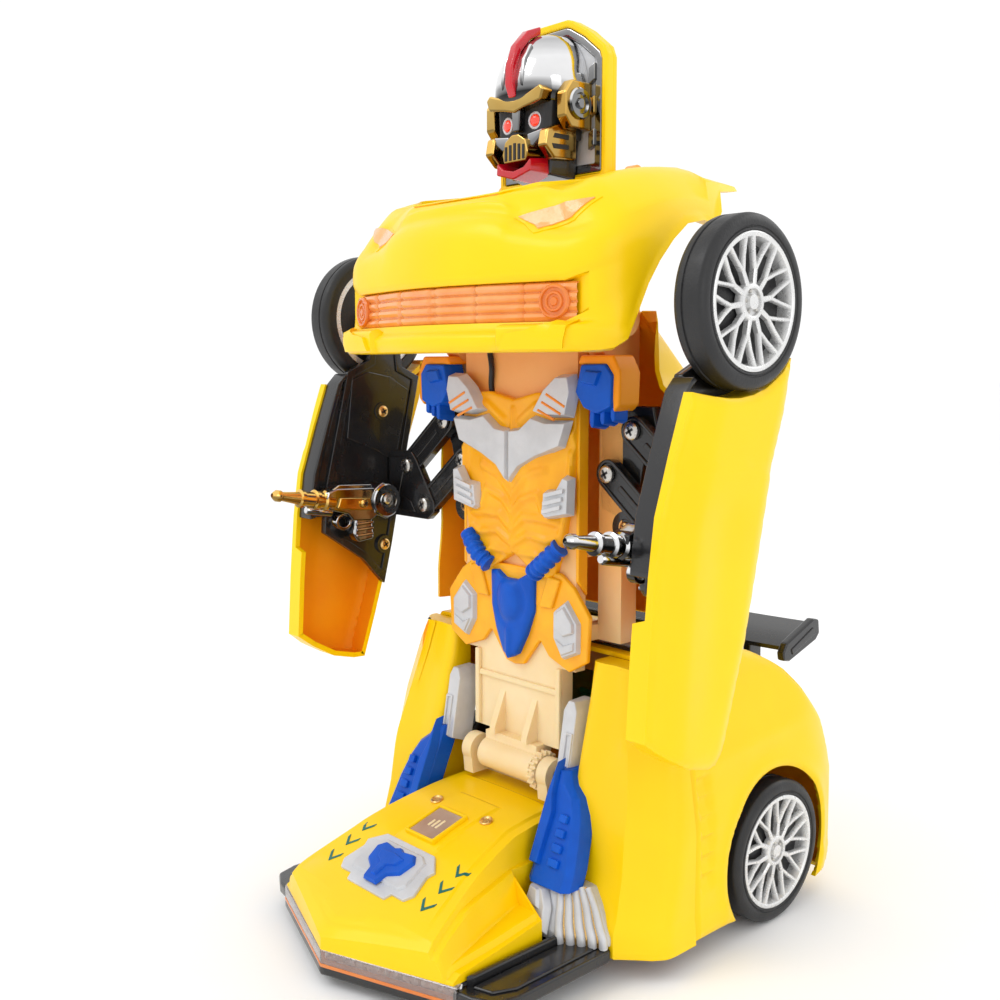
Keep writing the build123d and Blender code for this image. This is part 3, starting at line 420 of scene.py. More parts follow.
def catmull(pts, n=6, closed=False):
    """Points along a smooth curve through pts."""
    P = [np.array(p, float) for p in pts]
    out = []
    m = len(P)
    rng = range(m) if closed else range(m - 1)
    for i in rng:
        p1, p2 = P[i], P[(i + 1) % m]
        p0 = P[i - 1] if (i > 0 or closed) else 2 * p1 - p2
        p3 = P[(i + 2) % m] if (i + 2 < m or closed) else 2 * p2 - p1
        # centripetal
        def tj(ti, a, b):
            return ti + max(1e-6, np.linalg.norm(b - a)) ** 0.5
        t0 = 0.0
        t1 = tj(t0, p0, p1)
        t2 = tj(t1, p1, p2)
        t3 = tj(t2, p2, p3)
        for k in range(n):
            t = t1 + (t2 - t1) * k / n
            a1 = (t1 - t) / (t1 - t0) * p0 + (t - t0) / (t1 - t0) * p1
            a2 = (t2 - t) / (t2 - t1) * p1 + (t - t1) / (t2 - t1) * p2
            a3 = (t3 - t) / (t3 - t2) * p2 + (t - t2) / (t3 - t2) * p3
            b1 = (t2 - t) / (t2 - t0) * a1 + (t - t0) / (t2 - t0) * a2
            b2 = (t3 - t) / (t3 - t1) * a2 + (t - t1) / (t3 - t1) * a3
            out.append((t2 - t) / (t2 - t1) * b1 + (t - t1) / (t2 - t1) * b2)
    if not closed:
        out.append(P[-1])
    return [tuple(p) for p in out]


def tube(name, pts, r, mat, body, seg=14, smooth=6, radii=None, rings=None):
    """A round hose or lead through pts."""
    path = catmull(pts, smooth) if smooth else [tuple(p) for p in pts]
    P = [Vector(p) for p in path]
    n = len(P)
    rr = [r] * n if radii is None else list(np.interp(np.linspace(0, 1, n), np.linspace(0, 1, len(radii)), radii))
    verts, faces = [], []
    t = (P[1] - P[0]).normalized()
    up = Vector((0, 0, 1)) if abs(t.z) < 0.9 else Vector((1, 0, 0))
    side = t.cross(up).normalized()
    for i in range(n):
        t = (P[min(i + 1, n - 1)] - P[max(i - 1, 0)]).normalized()
        side = (side - t * side.dot(t)).normalized()
        u = side.cross(t).normalized()
        for k in range(seg):
            a = 2 * math.pi * k / seg
            verts.append(P[i] + (side * math.cos(a) + u * math.sin(a)) * rr[i])
    for i in range(n - 1):
        for k in range(seg):
            a, b = i * seg + k, i * seg + (k + 1) % seg
            faces.append((a, b, b + seg, a + seg))
    faces.append(tuple(range(seg))[::-1])
    faces.append(tuple(range((n - 1) * seg, n * seg)))
    o = make(name, verts, faces, mat, body)
    tidy(o)
    return soften(o, 0, sharp=50)


def lathe(name, prof, origin, axis, mat, body, seg=48, sharp=35, closed=True, a0=0.0, a1=360.0):
    """prof is (distance along axis, radius); closed rings are joined round the axis."""
    origin, axis = Vector(origin), Vector(axis).normalized()
    up = Vector((0, 0, 1)) if abs(axis.z) < 0.9 else Vector((1, 0, 0))
    e1 = (up - axis * up.dot(axis)).normalized()
    e2 = axis.cross(e1)
    verts, faces = [], []
    n = len(prof)
    for k in range(seg):
        a = 2 * math.pi * k / seg
        d = e1 * math.cos(a) + e2 * math.sin(a)
        for h, r in prof:
            verts.append(origin + axis * h + d * r)
    for k in range(seg):
        k2 = (k + 1) % seg
        for i in range(n if closed else n - 1):
            j = (i + 1) % n
            if prof[i][1] < 1e-6 and prof[j][1] < 1e-6:
                continue
            faces.append((k * n + i, k * n + j, k2 * n + j, k2 * n + i))
    o = make(name, verts, faces, mat, body)
    tidy(o, merge=2e-6)
    return soften(o, 0, sharp=sharp)


def loft(name, rings, mat, body, bevel=0.3, seg=2, caps=True, sharp=38, angle=32):
    """Closed rings of equal length, joined in order."""
    verts = [p for r in rings for p in r]
    k = len(rings[0])
    faces = []
    for i in range(len(rings) - 1):
        for j in range(k):
            a, b = i * k + j, i * k + (j + 1) % k
            faces.append((a, b, b + k, a + k))
    if caps:
        faces.append(tuple(range(k))[::-1])
        faces.append(tuple(range((len(rings) - 1) * k, len(rings) * k)))
    o = make(name, verts, faces, mat, body)
    tidy(o)
    return soften(o, bevel, seg, angle) if bevel else soften(o, 0, sharp=sharp)


def skin(name, G, thick, mats, body, offset=-1.0, rim=None, bevel=0.0, sharp=40, cols_closed=False, keep=None, even=False, flip=False):
    """A moulded shell from a grid of points: G[i][j], with its own wall thickness, outer faces mats[0], inner mats[1]."""
    nu, nv = len(G), len(G[0])
    verts = [p for row in G for p in row]
    faces = []
    for i in range(nu - 1):
        for j in range(nv - 1 if not cols_closed else nv):
            if keep is not None and not keep(i, j):
                continue
            j2 = (j + 1) % nv
            f = (i * nv + j, i * nv + j2, (i + 1) * nv + j2, (i + 1) * nv + j)
            faces.append(f[::-1] if flip else f)
    o = make(name, verts, faces, mats[0], body, mats=list(mats))
    tidy(o, normals=False)
    bm = bmesh.new()
    bm.from_mesh(o.data)
    loose = [v for v in bm.verts if not v.link_faces]
    bmesh.ops.delete(bm, geom=loose, context="VERTS")
    bm.to_mesh(o.data)
    bm.free()
    if thick:
        s = o.modifiers.new("wall", "SOLIDIFY")
        s.thickness = thick * MM
        s.offset = offset
        s.use_even_offset = even
        s.thickness_clamp = 1.5
        if len(mats) > 1:
            s.material_offset = 1
            s.material_offset_rim = 0 if rim is None else rim
    if bevel:
        b = o.modifiers.new("bevel", "BEVEL")
        b.width = bevel * MM
        b.segments = 2
        b.limit_method = "ANGLE"
        b.angle_limit = math.radians(50)
    me = o.data
    me.polygons.foreach_set("use_smooth", [True] * len(me.polygons))
    if thick or bevel:
        apply_mods(o)
        o.data.polygons.foreach_set("use_smooth", [True] * len(o.data.polygons))
    o.data.set_sharp_from_angle(angle=math.radians(sharp))
    return o


def mirror(pts):
    return [(-p[0], *p[1:]) for p in pts]


def screw(name, at, axis, r, mat, body, head=0.9, slot_angle=30):
    """A pan-head screw; its cross recess is painted shade, two matte black bars set into the head."""
    axis = Vector(axis).normalized()
    up = Vector((0, 0, 1)) if abs(axis.z) < 0.9 else Vector((1, 0, 0))
    e1 = (up - axis * up.dot(axis)).normalized()
    e2 = axis.cross(e1)
    q = Matrix.Rotation(math.radians(slot_angle), 3, axis)
    e1, e2 = q @ e1, q @ e2
    at = Vector(at)
    prof = [(-0.4, 0.0), (-0.4, r), (head * 0.45, r), (head * 0.8, r * 0.86), (head, r * 0.6), (head, 0.0)]
    o = lathe(name, prof, at, axis, mat, body, seg=28, closed=False)
    # the cross recess: two matte black bars, painted shade of a recess
    w = r * 0.15
    for k, (a, b) in enumerate(((e1, e2), (e2, e1))):
        c = at + axis * (head - 0.12)
        ring = []
        vs = []
        for s in (0, 1):
            for u, v in ((-1, -1), (1, -1), (1, 1), (-1, 1)):
                vs.append(c + axis * (s * 0.16) + a * (u * r * 0.55) + b * (v * w))
        x = make(f"{name}_x{k}", vs, [(0, 3, 2, 1), (4, 5, 6, 7), (0, 1, 5, 4), (1, 2, 6, 5), (2, 3, 7, 6), (3, 0, 4, 7)], MATTE, body)
        tidy(x)
    return o


def swap(o, *cad):
    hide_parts(*cad)
    return o



# ---------------------------------------------------------------- hood
plan_pts = [(0, -73.2), (4, -73.1), (8, -72.8), (12, -72.3), (16, -71.7), (20, -70.9), (22.6, -70.3), (23.4, -70.1), (27, -69.3), (31, -68.4), (35, -67.4), (38.6, -66.4), (41.6, -65.3), (44.2, -63.7), (46.2, -61.9), (47.8, -59.6), (48.9, -57), (49.5, -54.2), (49.9, -51), (50.1, -47.5), (50.25, -43), (50.35, -38), (50.4, -32), (50.4, -27), (50.35, -24.2), (50.2, -20), (49.8, -15), (49.4, -11)]
SIDE0 = 15
arch = {15: 149.8, 16: 151.5, 17: 156.8, 18: 164.0, 19: 169.6, 20: 175.0, 21: 178.6, 22: 179.6, 23: 178.9, 24: 182.2, 25: 187.7, 26: 188.3, 27: 188.8}
tops = [(0, -64.2, 186.0), (2.6, -64.2, 186.0), (5.2, -64.2, 186.0), (8, -64.2, 186.0), (10.6, -64.2, 186.05), (13.2, -64.1, 186.1), (15.3, -64.0, 186.2), (15.9, -63.7, 186.4), (17.0, -62.4, 186.8), (18.2, -61.0, 187.2), (19.4, -59.6, 187.6), (20.4, -58.4, 188.0), (21.0, -57.4, 188.3), (21.0, -56.0, 188.6), (21, -54.6, 188.8), (21, -53.2, 189.0), (21, -51.8, 189.2), (21, -50, 189.5), (21, -48, 189.8), (21, -45, 190.3), (21, -41, 190.9), (21, -36, 191.6), (21, -30.5, 192.3), (21, -26, 192.8), (21, -22.4, 193.1), (10, -22.4, 193.4), (5, -16.5, 194.2), (0, -11.2, 194.6)]


def smooth01(t):
    t = max(0.0, min(1.0, t))
    return t * t * (3 - 2 * t)


def hood_station(i, half_extra=None):
    x, y = plan_pts[i]
    a, b = Vector(plan_pts[max(0, i - 1)]), Vector(plan_pts[min(len(plan_pts) - 1, i + 1)])
    t = (b - a).normalized()
    n = Vector((t.y, -t.x))
    if i == 0:
        n = Vector((0, -1))
    if n.y > 0 and n.x < 0:
        n = -n
    w_side = min(1.0, max(0.0, (i - 11) / 5.0))
    lipr = 1.1 if 7 <= i <= 14 else 0.0
    g = 1.0 if i <= 12 else max(0.0, 1 - (i - 12) / 1.0)
    front = [
        (149.3, -8.0), (149.3, -3.0), (149.3, 0.3 + lipr), (149.7, 0.9 + lipr), (151.2, 1.5 + lipr), (152.6 + 1.6 * lipr, 1.7 + lipr), (153.4 + 1.6 * lipr, 1.2 + lipr), (154.1 + 1.4 * lipr, -0.2 + lipr * 0.4),
        (155.0, -0.9), (155.6, -1.1), (156.05, -1.3), (156.2, -1.3 - 2.6 * g), (164.9, -1.3 - 2.6 * g), (165.1, -1.2), (165.8, -0.7), (166.9, -0.45), (169.2, -0.45), (172, -0.6),
        (175.2, -0.9), (177.4, -1.4), (179.2, -2.2), (180.7, -3.4), (181.8, -4.9),
    ]
    zl = arch.get(i, 149.3)
    lipc = 1.8 if i in (15, 16) else 0.0
    side = []
    top_z = 184.0
    base = [0.0, 0.0, 0.02, 0.045, 0.08, 0.12, 0.16, 0.2, 0.26, 0.32, 0.36, 0.4, 0.56, 0.58, 0.62, 0.66, 0.72, 0.78, 0.84, 0.89, 0.93, 0.97, 1.0]
    for k, f in enumerate(base):
        z = zl + (top_z + 0.6 - zl) * f if zl < 180 else zl + (190.0 - zl) * f
        zz = z
        flare = 0.0
        d = z - zl
        if i >= 17 and i <= 24:
            flare = 1.1 * max(0.0, 1 - d / 2.2) if k >= 2 else 1.1
        off = -0.1 - 2.6 * max(0.0, (z - 176) / 10.0) ** 2 + flare * 0.9
        if zl < 160 and z < 163:
            off += lipc * max(0.0, 1 - abs(z - 153) / 9.0)
        if k == 0:
            off -= 3.0
        if k == 1:
            off -= 1.2
        side.append((zz, off))
    prof = [((1 - w_side) * f[0] + w_side * s[0], (1 - w_side) * f[1] + w_side * s[1]) for f, s in zip(front, side)]
    row = []
    drop = 5.6 * smooth01((i - 3) / 8.0) * (1 - smooth01((i - 15) / 7.0))
    for z, off in prof:
        z -= drop * smooth01((z - 166) / 18.0)
        row.append((x + n.x * off, y + n.y * off, z))
    # over the crown to the rim of the head opening or the cowl edge
    tx, ty, tz = tops[i]
    p = np.array(row[-1])
    pm = np.array(row[-2])
    T = np.array((tx, ty, tz))
    side_ness = w_side
    crown_z = 186.2 * (1 - side_ness) + (191.2 + 2.8 * min(1, max(0, (y + 60) / 34.0))) * side_ness
    c1 = p + (T - p) * 0.22
    c1[2] = p[2] + (crown_z - drop * 0.8 - p[2]) * (0.75 if side_ness > 0 else 0.6)
    c2 = p + (T - p) * 0.42
    c2[2] = crown_z - drop * 0.55 if side_ness > 0 else (p[2] + T[2]) / 2 + 0.9
    c3 = p + (T - p) * 0.72
    c3[2] = (T[2] * 0.75 + c2[2] * 0.25) - (0.9 if side_ness > 0.3 else 0.0)
    seq = catmull([tuple(pm), tuple(p), tuple(c1), tuple(c2), tuple(c3), tuple(T)], 4)
    seq = seq[5:]
    row += seq
    # raised lip round the opening, then down inside it
    if i <= 24:
        out2 = Vector((T[0] - p[0], T[1] - p[1])).normalized()
        row[-1] = (T[0] - out2.x * 1.0, T[1] - out2.y * 1.0, T[2] + 0.2)
        row.append((T[0] - out2.x * 0.35, T[1] - out2.y * 0.35, T[2] + 0.55))
        row.append((T[0], T[1], T[2] + 0.2))
        row.append((T[0], T[1], T[2] - 2.6))
    else:
        row.append((T[0], T[1], T[2]))
        row.append((T[0], T[1], T[2]))
        row.append((T[0], T[1], T[2] - 2.0))
    return row


half = [hood_station(i) for i in range(len(plan_pts))]
G = [mirror(r) for r in half[:0:-1]] + half
hood = skin("hood_skin", G, 1.1, [YEL, SHADE_ORANGE], "hood", offset=-1.0, sharp=48, flip=True)
swap(hood, "hood_shell")

deps = bpy.context.evaluated_depsgraph_get()


def surface_tree(o):
    me = o.data
    return BVHTree.FromPolygons([v.co for v in me.vertices], [p.vertices for p in me.polygons])


def drape(name, outline, plane, start, tree, lift, thick, mat, body, step=1.0, bevel=0.25, sink=0.5, flip=1):
    """A thin part that follows the surface under it: outline in the plane, dropped along its normal from start."""
    o0, ex, ey, n = axes(plane)
    bm = bmesh.new()
    vs = [bm.verts.new(o0 + ex * p[0] + ey * p[1]) for p in outline]
    bm.faces.new(vs)
    lo = [min(p[k] for p in outline) for k in (0, 1)]
    hi = [max(p[k] for p in outline) for k in (0, 1)]
    for k, e in ((0, ex), (1, ey)):
        c = lo[k] + step
        while c < hi[k]:
            bmesh.ops.bisect_plane(bm, geom=bm.verts[:] + bm.edges[:] + bm.faces[:], plane_co=o0 + e * c, plane_no=e, dist=1e-5)
            c += step
    bm.verts.index_update()
    pts = [v.co.copy() for v in bm.verts]
    fs = [[v.index for v in f.verts] for f in bm.faces]
    bm.free()
    low, high = [], []
    last = None
    d = (n * -flip)
    for p in pts:
        src = W(p + n * flip * start)
        hit, nn, idx, dist = tree.ray_cast(src, d)
        if hit is None:
            hit, nn, idx, dist = tree.find_nearest(src if last is None else last)
        last = hit
        if nn.dot(n * flip) < 0:
            nn = -nn
        q = Vector((hit.x / MM, hit.y / MM - AXLE_Y, hit.z / MM))
        low.append(q - nn * sink)
        high.append(q + nn * (lift + thick))
    k = len(pts)
    faces = [list(f) for f in fs] + [[i + k for i in f][::-1] for f in fs]
    # side walls round the outline
    cnt = {}
    for f in fs:
        for a, b in zip(f, f[1:] + f[:1]):
            cnt[(a, b)] = 1
    for (a, b) in list(cnt):
        if (b, a) not in cnt:
            faces.append([b, a, a + k, b + k])
    o = make(name, low + high, faces, mat, body)
    tidy(o)
    soften(o, 0, sharp=30)
    if bevel:
        o.modifiers.clear()
        m = o.modifiers.new("bevel", "BEVEL")
        m.width = bevel * MM
        m.segments = 2
        m.limit_method = "ANGLE"
        m.angle_limit = math.radians(50)
    return o


hood_tree = surface_tree(hood)
FRONTP = ((0, 0, 0), (1, 0, 0), (0, 0, 1), (0, -1, 0))
for s, tag in ((1, "left"), (-1, "right")):
    lamp = [(s * 23.2, 180.1), (s * 29.6, 176.7), (s * 36.6, 179.2), (s * 40.4, 183.2), (s * 33.5, 182.6)]
    b = drape(f"headlight_bezel_{tag}", [(p[0] + s * dx, p[1] + dz) for p, (dx, dz) in zip(lamp, [(-1.2, 0), (-0.2, -0.9), (0.7, -0.7), (1.3, 0.3), (0, 0.8)])], FRONTP, 100, hood_tree, 0.0, 0.25, YEL, "hood", step=0.9)
    l = drape(f"headlight_glass_{tag}", lamp, FRONTP, 100, hood_tree, 0.15, 0.45, PEACH, "hood", step=0.9, bevel=0.2)
    swap(l, "headlight_lenses")

# grille band: ribbed glass that follows the nose, one lamp at each end
gx = [i * 0.75 for i in range(56)]
px = [p[0] for p in plan_pts[:15]]
py = [p[1] for p in plan_pts[:15]]


def nose_at(x):
    y = float(np.interp(x, px, py))
    y2 = float(np.interp(x + 0.2, px, py))
    t = Vector((0.2, y2 - y)).normalized()
    return y, Vector((t.y, -t.x))


rows_z = []
zz = 157.35
ribs = 4
for r in range(ribs):
    z0 = 156.12 + r * (8.75 / ribs)
    rows_z += [(z0, -2.0), (z0 + 0.25, -1.6), (z0 + 1.0, -1.2), (z0 + 1.7, -1.4), (z0 + 2.08, -2.0)]
rows_z.append((164.95, -2.6))
GG = []
for sx in list(reversed([-g for g in gx[1:]])) + gx:
    x = abs(sx)
    y, n = nose_at(x)
    s = 1 if sx >= 0 else -1
    row = []
    seg_step = 0.55 if (x % 13.6) < 0.8 else 0.0
    for z, off in rows_z:
        o_ = off - seg_step
        row.append((s * (x + n.x * o_), y + n.y * o_, z))
    GG.append(row)
gl = skin("grille_glass", GG, 1.2, [AMBER], "hood", sharp=35, flip=True)
swap(gl, "grille_lens")
for s, tag in ((1, "left"), (-1, "right")):
    y, n = nose_at(36.2)
    c = Vector((s * 36.2, y, 160.5)) + Vector((s * n.x, n.y, 0)) * -1.0
    ax = Vector((s * n.x, n.y, 0))
    fl = lathe(f"fog_lamp_{tag}", [(-1.6, 0), (-1.6, 3.9), (0.1, 3.9), (0.5, 3.6), (0.5, 3.2), (-0.05, 3.0), (-0.05, 2.4), (0.4, 2.15), (0.4, 1.75), (0.0, 1.55), (0.0, 1.1), (0.4, 0.85), (0.5, 0.0)], c, ax, AMBER_D, "hood", seg=40, closed=False)

# creases and steps of the front skin
for s, tag in ((1, "left"), (-1, "right")):
    drape(f"lip_block_{tag}", [(s * 25.0, 150.2), (s * 40.5, 150.2), (s * 42.0, 156.4), (s * 35.0, 154.6), (s * 27.0, 153.6)], FRONTP, 100, hood_tree, 0.0, 0.9, YEL, "hood", step=1.5, bevel=0.4)
    # points round the arch above the front wheel; no part is made from them
    pts = []
    for k in range(25):
        a = math.radians(-2 + 152 * k / 24)
        pts.append((s * 50.3, -32.05 - 22.9 * math.cos(a), 157.0 + 22.9 * math.sin(a)))


# ---------------------------------------------------------------- wheels
def bars(name, segs, mat, body):
    """Many tapered bars in one mesh: each is (p0, p1, width0, width1, thickness, face normal)."""
    verts, faces = [], []
    for p0, p1, w0, w1, t0, t1, nrm in segs:
        p0, p1, nrm = Vector(p0), Vector(p1), Vector(nrm)
        d = (p1 - p0).normalized()
        sd = d.cross(nrm).normalized()
        b = len(verts)
        for p, w, t in ((p0, w0, t0), (p1, w1, t1)):
            verts += [p - sd * w / 2 - nrm * t, p + sd * w / 2 - nrm * t, p + sd * w / 2 - nrm * 0.25, p + sd * w * 0.28, p - sd * w * 0.28, p - sd * w / 2 - nrm * 0.25]
        faces += [(b, b + 5, b + 4, b + 3, b + 2, b + 1), (b + 6, b + 7, b + 8, b + 9, b + 10, b + 11)]
        for i in range(6):
            j = (i + 1) % 6
            faces.append((b + i, b + j, b + 6 + j, b + 6 + i))
    o = make(name, verts, faces, mat, body)
    tidy(o, merge=1e-9)
    return soften(o, 0, sharp=40)


def wheel(tag, s, xf, yc, zc, body, cad_tyre, cad_rim, both=False):
    """xf is the outer face; s is the side it faces."""
    ax = (s, 0, 0)
    o = (s * xf, yc, zc)
    w = 8.4
    R = 18.98
    prof = [(-w, 15.0), (-w, 17.0), (-w + 0.15, 17.5), (-w + 0.6, 18.3), (-w + 1.2, 18.8), (-w + 1.8, R)]
    prof += [(-5.6, R), (-5.45, R - 0.3), (-5.0, R - 0.3), (-4.85, R)]
    prof += [(-1.5, R), (-1.0, 18.85), (-0.55, 18.45), (-0.2, 17.9), (-0.05, 17.2), (0.0, 16.6), (-0.06, 16.2), (-0.3, 16.05), (-0.35, 15.8), (-0.15, 15.65), (-0.1, 15.45), (-0.3, 15.1), (-0.9, 14.9), (-w + 0.5, 14.9)]
    ty = lathe(f"tyre_{tag}", prof, o, ax, TYRE, body, seg=96, sharp=30)
    # rim ring and well
    rp = [(-0.9, 15.05), (-0.15, 15.0), (0.0, 14.75), (0.0, 14.2), (-0.25, 13.9), (-1.3, 13.6), (-3.4, 13.3), (-w + 0.6, 13.2), (-w + 0.6, 14.95), (-0.9, 14.95)]
    rr = lathe(f"rim_ring_{tag}", rp, o, ax, RIM, body, seg=96, sharp=30)
    well = lathe(f"rim_well_{tag}", [(-3.6, 13.5), (-3.4, 11.0), (-3.0, 6.0), (-2.9, 3.0), (-2.9, 0.0), (-6.6, 0.0), (-6.6, 13.5)], o, ax, MATTE, body, seg=64, closed=False)
    segs = []
    nrm = Vector((s, 0, 0))

    def P(r, a, h):
        return Vector((s * (xf + h), yc + r * math.cos(a) * s, zc + r * math.sin(a)))

    for k in range(10):
        a = 2 * math.pi * k / 10 + 0.16
        st = math.radians(6.2)
        segs.append((P(3.2, a, -0.75), P(7.6, a, -0.95), 1.35, 1.15, 1.5, 1.4, nrm))
        for q in (-1, 1):
            segs.append((P(7.3, a + q * 0.02, -0.95), P(10.6, a + q * math.radians(8.2), -0.75), 0.95, 0.85, 1.3, 1.3, nrm))
            segs.append((P(10.4, a + q * math.radians(8.0), -0.75), P(14.0, a + q * math.radians(12.2), -0.2), 0.85, 0.95, 1.3, 1.6, nrm))
    sp = bars(f"rim_spokes_{tag}", segs, RIM, body)
    hub = lathe(f"rim_hub_{tag}", [(-2.6, 4.3), (-1.2, 4.2), (-0.75, 3.9), (-0.6, 3.4), (-0.75, 3.0), (-1.5, 2.8), (-1.6, 1.9), (-1.2, 1.7), (-0.55, 1.6), (-0.45, 1.2), (-0.45, 0.0)], o, ax, RIM, body, seg=48, closed=False)
    lugs = []
    for k in range(5):
        a = 2 * math.pi * k / 5 + 0.5
        c = P(2.35, a, -1.55)
        lugs.append(lathe(f"lug_{tag}_{k}", [(0, 0.42), (0.5, 0.42), (0.62, 0.3), (0.62, 0.0)], c, ax, STEEL, body, seg=6, closed=False))
    swap(ty, cad_tyre)
    swap(rr, cad_rim)


wheel("front_left", 1, 71.8, -40.6, 159.9, "front_wheel_left", "front_tyre_left", "front_rim_left")
wheel("front_right", -1, 71.8, -40.6, 159.9, "front_wheel_right", "front_tyre_right", "front_rim_right")
wheel("rear_left", 1, 55.2, 0.0, 19.0, "rear_wheels", "rear_tyres", "rear_rims")
wheel("rear_right", -1, 55.2, 0.0, 19.0, "rear_wheels", "rear_tyres", "rear_rims")


# ---------------------------------------------------------------- surfaces with height
def seg_dist(px, py, ax, ay, bx, by):
    dx, dy = bx - ax, by - ay
    L = dx * dx + dy * dy
    t = max(0.0, min(1.0, ((px - ax) * dx + (py - ay) * dy) / L)) if L else 0.0
    return math.hypot(px - ax - t * dx, py - ay - t * dy), t


def inside(pts, x, y):
    c = False
    j = len(pts) - 1
    for i in range(len(pts)):
        xi, yi = pts[i][:2]
        xj, yj = pts[j][:2]
        if (yi > y) != (yj > y) and x < (xj - xi) * (y - yi) / (yj - yi) + xi:
            c = not c
        j = i
    return c


def edge_dist(pts, x, y):
    return min(seg_dist(x, y, *pts[i][:2], *pts[(i + 1) % len(pts)][:2])[0] for i in range(len(pts)))


def smooth(a, b, t):
    t = max(0.0, min(1.0, (t - a) / (b - a)))
    return t * t * (3 - 2 * t)


def ridge(x, y, line, w, h):
    """A soft rib along a polyline."""
    d = min(seg_dist(x, y, *line[i], *line[i + 1])[0] for i in range(len(line) - 1))
    return h * (1 - smooth(0, w, d)) if d < w else 0.0


def field(name, outline, plane, height, thick, mats, body, step=1.0, cuts=(), wall=None, edge=0.0, holes=(), bevel=0.0, sharp=35, extra=0, solid=True):
    """A moulded face: the outline cut finely, raised to height(a, b) along the plane's normal, with side walls down to wall."""
    o0, ex, ey, n = axes(plane)
    bm = bmesh.new()
    if holes:
        edges = []
        for ring in [outline] + list(holes):
            vs = [bm.verts.new((p[0], p[1], 0)) for p in ring]
            for i in range(len(vs)):
                edges.append(bm.edges.new((vs[i], vs[(i + 1) % len(vs)])))
        bmesh.ops.triangle_fill(bm, use_beauty=True, use_dissolve=True, edges=edges)
    else:
        bm.faces.new([bm.verts.new((p[0], p[1], 0)) for p in outline])
    bmesh.ops.recalc_face_normals(bm, faces=bm.faces)
    if bm.faces[:][0].normal.z < 0:
        bmesh.ops.reverse_faces(bm, faces=bm.faces)
    lo = [min(p[k] for p in outline) for k in (0, 1)]
    hi = [max(p[k] for p in outline) for k in (0, 1)]
    for k, e in ((0, Vector((1, 0, 0))), (1, Vector((0, 1, 0)))):
        c = math.ceil(lo[k] / step) * step + 0.013
        while c < hi[k]:
            bmesh.ops.bisect_plane(bm, geom=bm.verts[:] + bm.edges[:] + bm.faces[:], plane_co=e * c, plane_no=e, dist=1e-4)
            c += step
    for (cx, cy), (nx, ny) in cuts:
        bmesh.ops.bisect_plane(bm, geom=bm.verts[:] + bm.edges[:] + bm.faces[:], plane_co=(cx, cy, 0), plane_no=Vector((nx, ny, 0)).normalized(), dist=1e-4)
    bmesh.ops.triangulate(bm, faces=[f for f in bm.faces if len(f.verts) > 4])
    ring_sets = [outline] + list(holes)
    for v in bm.verts:
        h = height(v.co.x, v.co.y)
        if edge:
            d = min(edge_dist(r, v.co.x, v.co.y) for r in ring_sets)
            if d < edge:
                q = 1 - d / edge
                h -= edge * 0.55 * q * q
        v.co.z = h
    if wall is not None:
        be = [e for e in bm.edges if len(e.link_faces) == 1]
        r = bmesh.ops.extrude_edge_only(bm, edges=be)
        for g in r["geom"]:
            if isinstance(g, bmesh.types.BMVert):
                g.co.z = wall(g.co.x, g.co.y) if callable(wall) else wall
    bmesh.ops.recalc_face_normals(bm, faces=bm.faces)
    up = sum(f.normal.z * f.calc_area() for f in bm.faces)
    if up < 0:
        bmesh.ops.reverse_faces(bm, faces=bm.faces)
    bm.verts.index_update()
    handed = ex.cross(ey).dot(n) > 0
    verts = [o0 + ex * v.co.x + ey * v.co.y + n * v.co.z for v in bm.verts]
    fs = [[v.index for v in f.verts] for f in bm.faces]
    if not handed:
        fs = [f[::-1] for f in fs]
    bm.free()
    o = make(name, verts, fs, mats[0], body, mats=list(mats))
    if thick:
        s = o.modifiers.new("wall", "SOLIDIFY")
        s.thickness = thick * MM
        s.offset = -1.0
        s.use_even_offset = False
        if len(mats) > 1:
            s.material_offset = 1
            s.material_offset_rim = 0
        apply_mods(o)
    o.data.polygons.foreach_set("use_smooth", [True] * len(o.data.polygons))
    o.data.set_sharp_from_angle(angle=math.radians(sharp))
    return o


# ---------------------------------------------------------------- foot
def interp(v, xs, ys):
    return float(np.interp(v, xs, ys))


def foot_w(y):
    return interp(y, [-107, -100, -95, -80, -66, -63, -40], [29, 28.6, 27.4, 23.4, 20.8, 20.2, 19.6])


def foot_c(y):
    return interp(y, [-107.2, -103, -95, -90, -77, -70, -63, -55, -39], [13.2, 15.0, 18.4, 20.9, 26.7, 29.0, 30.8, 31.9, 33.0])


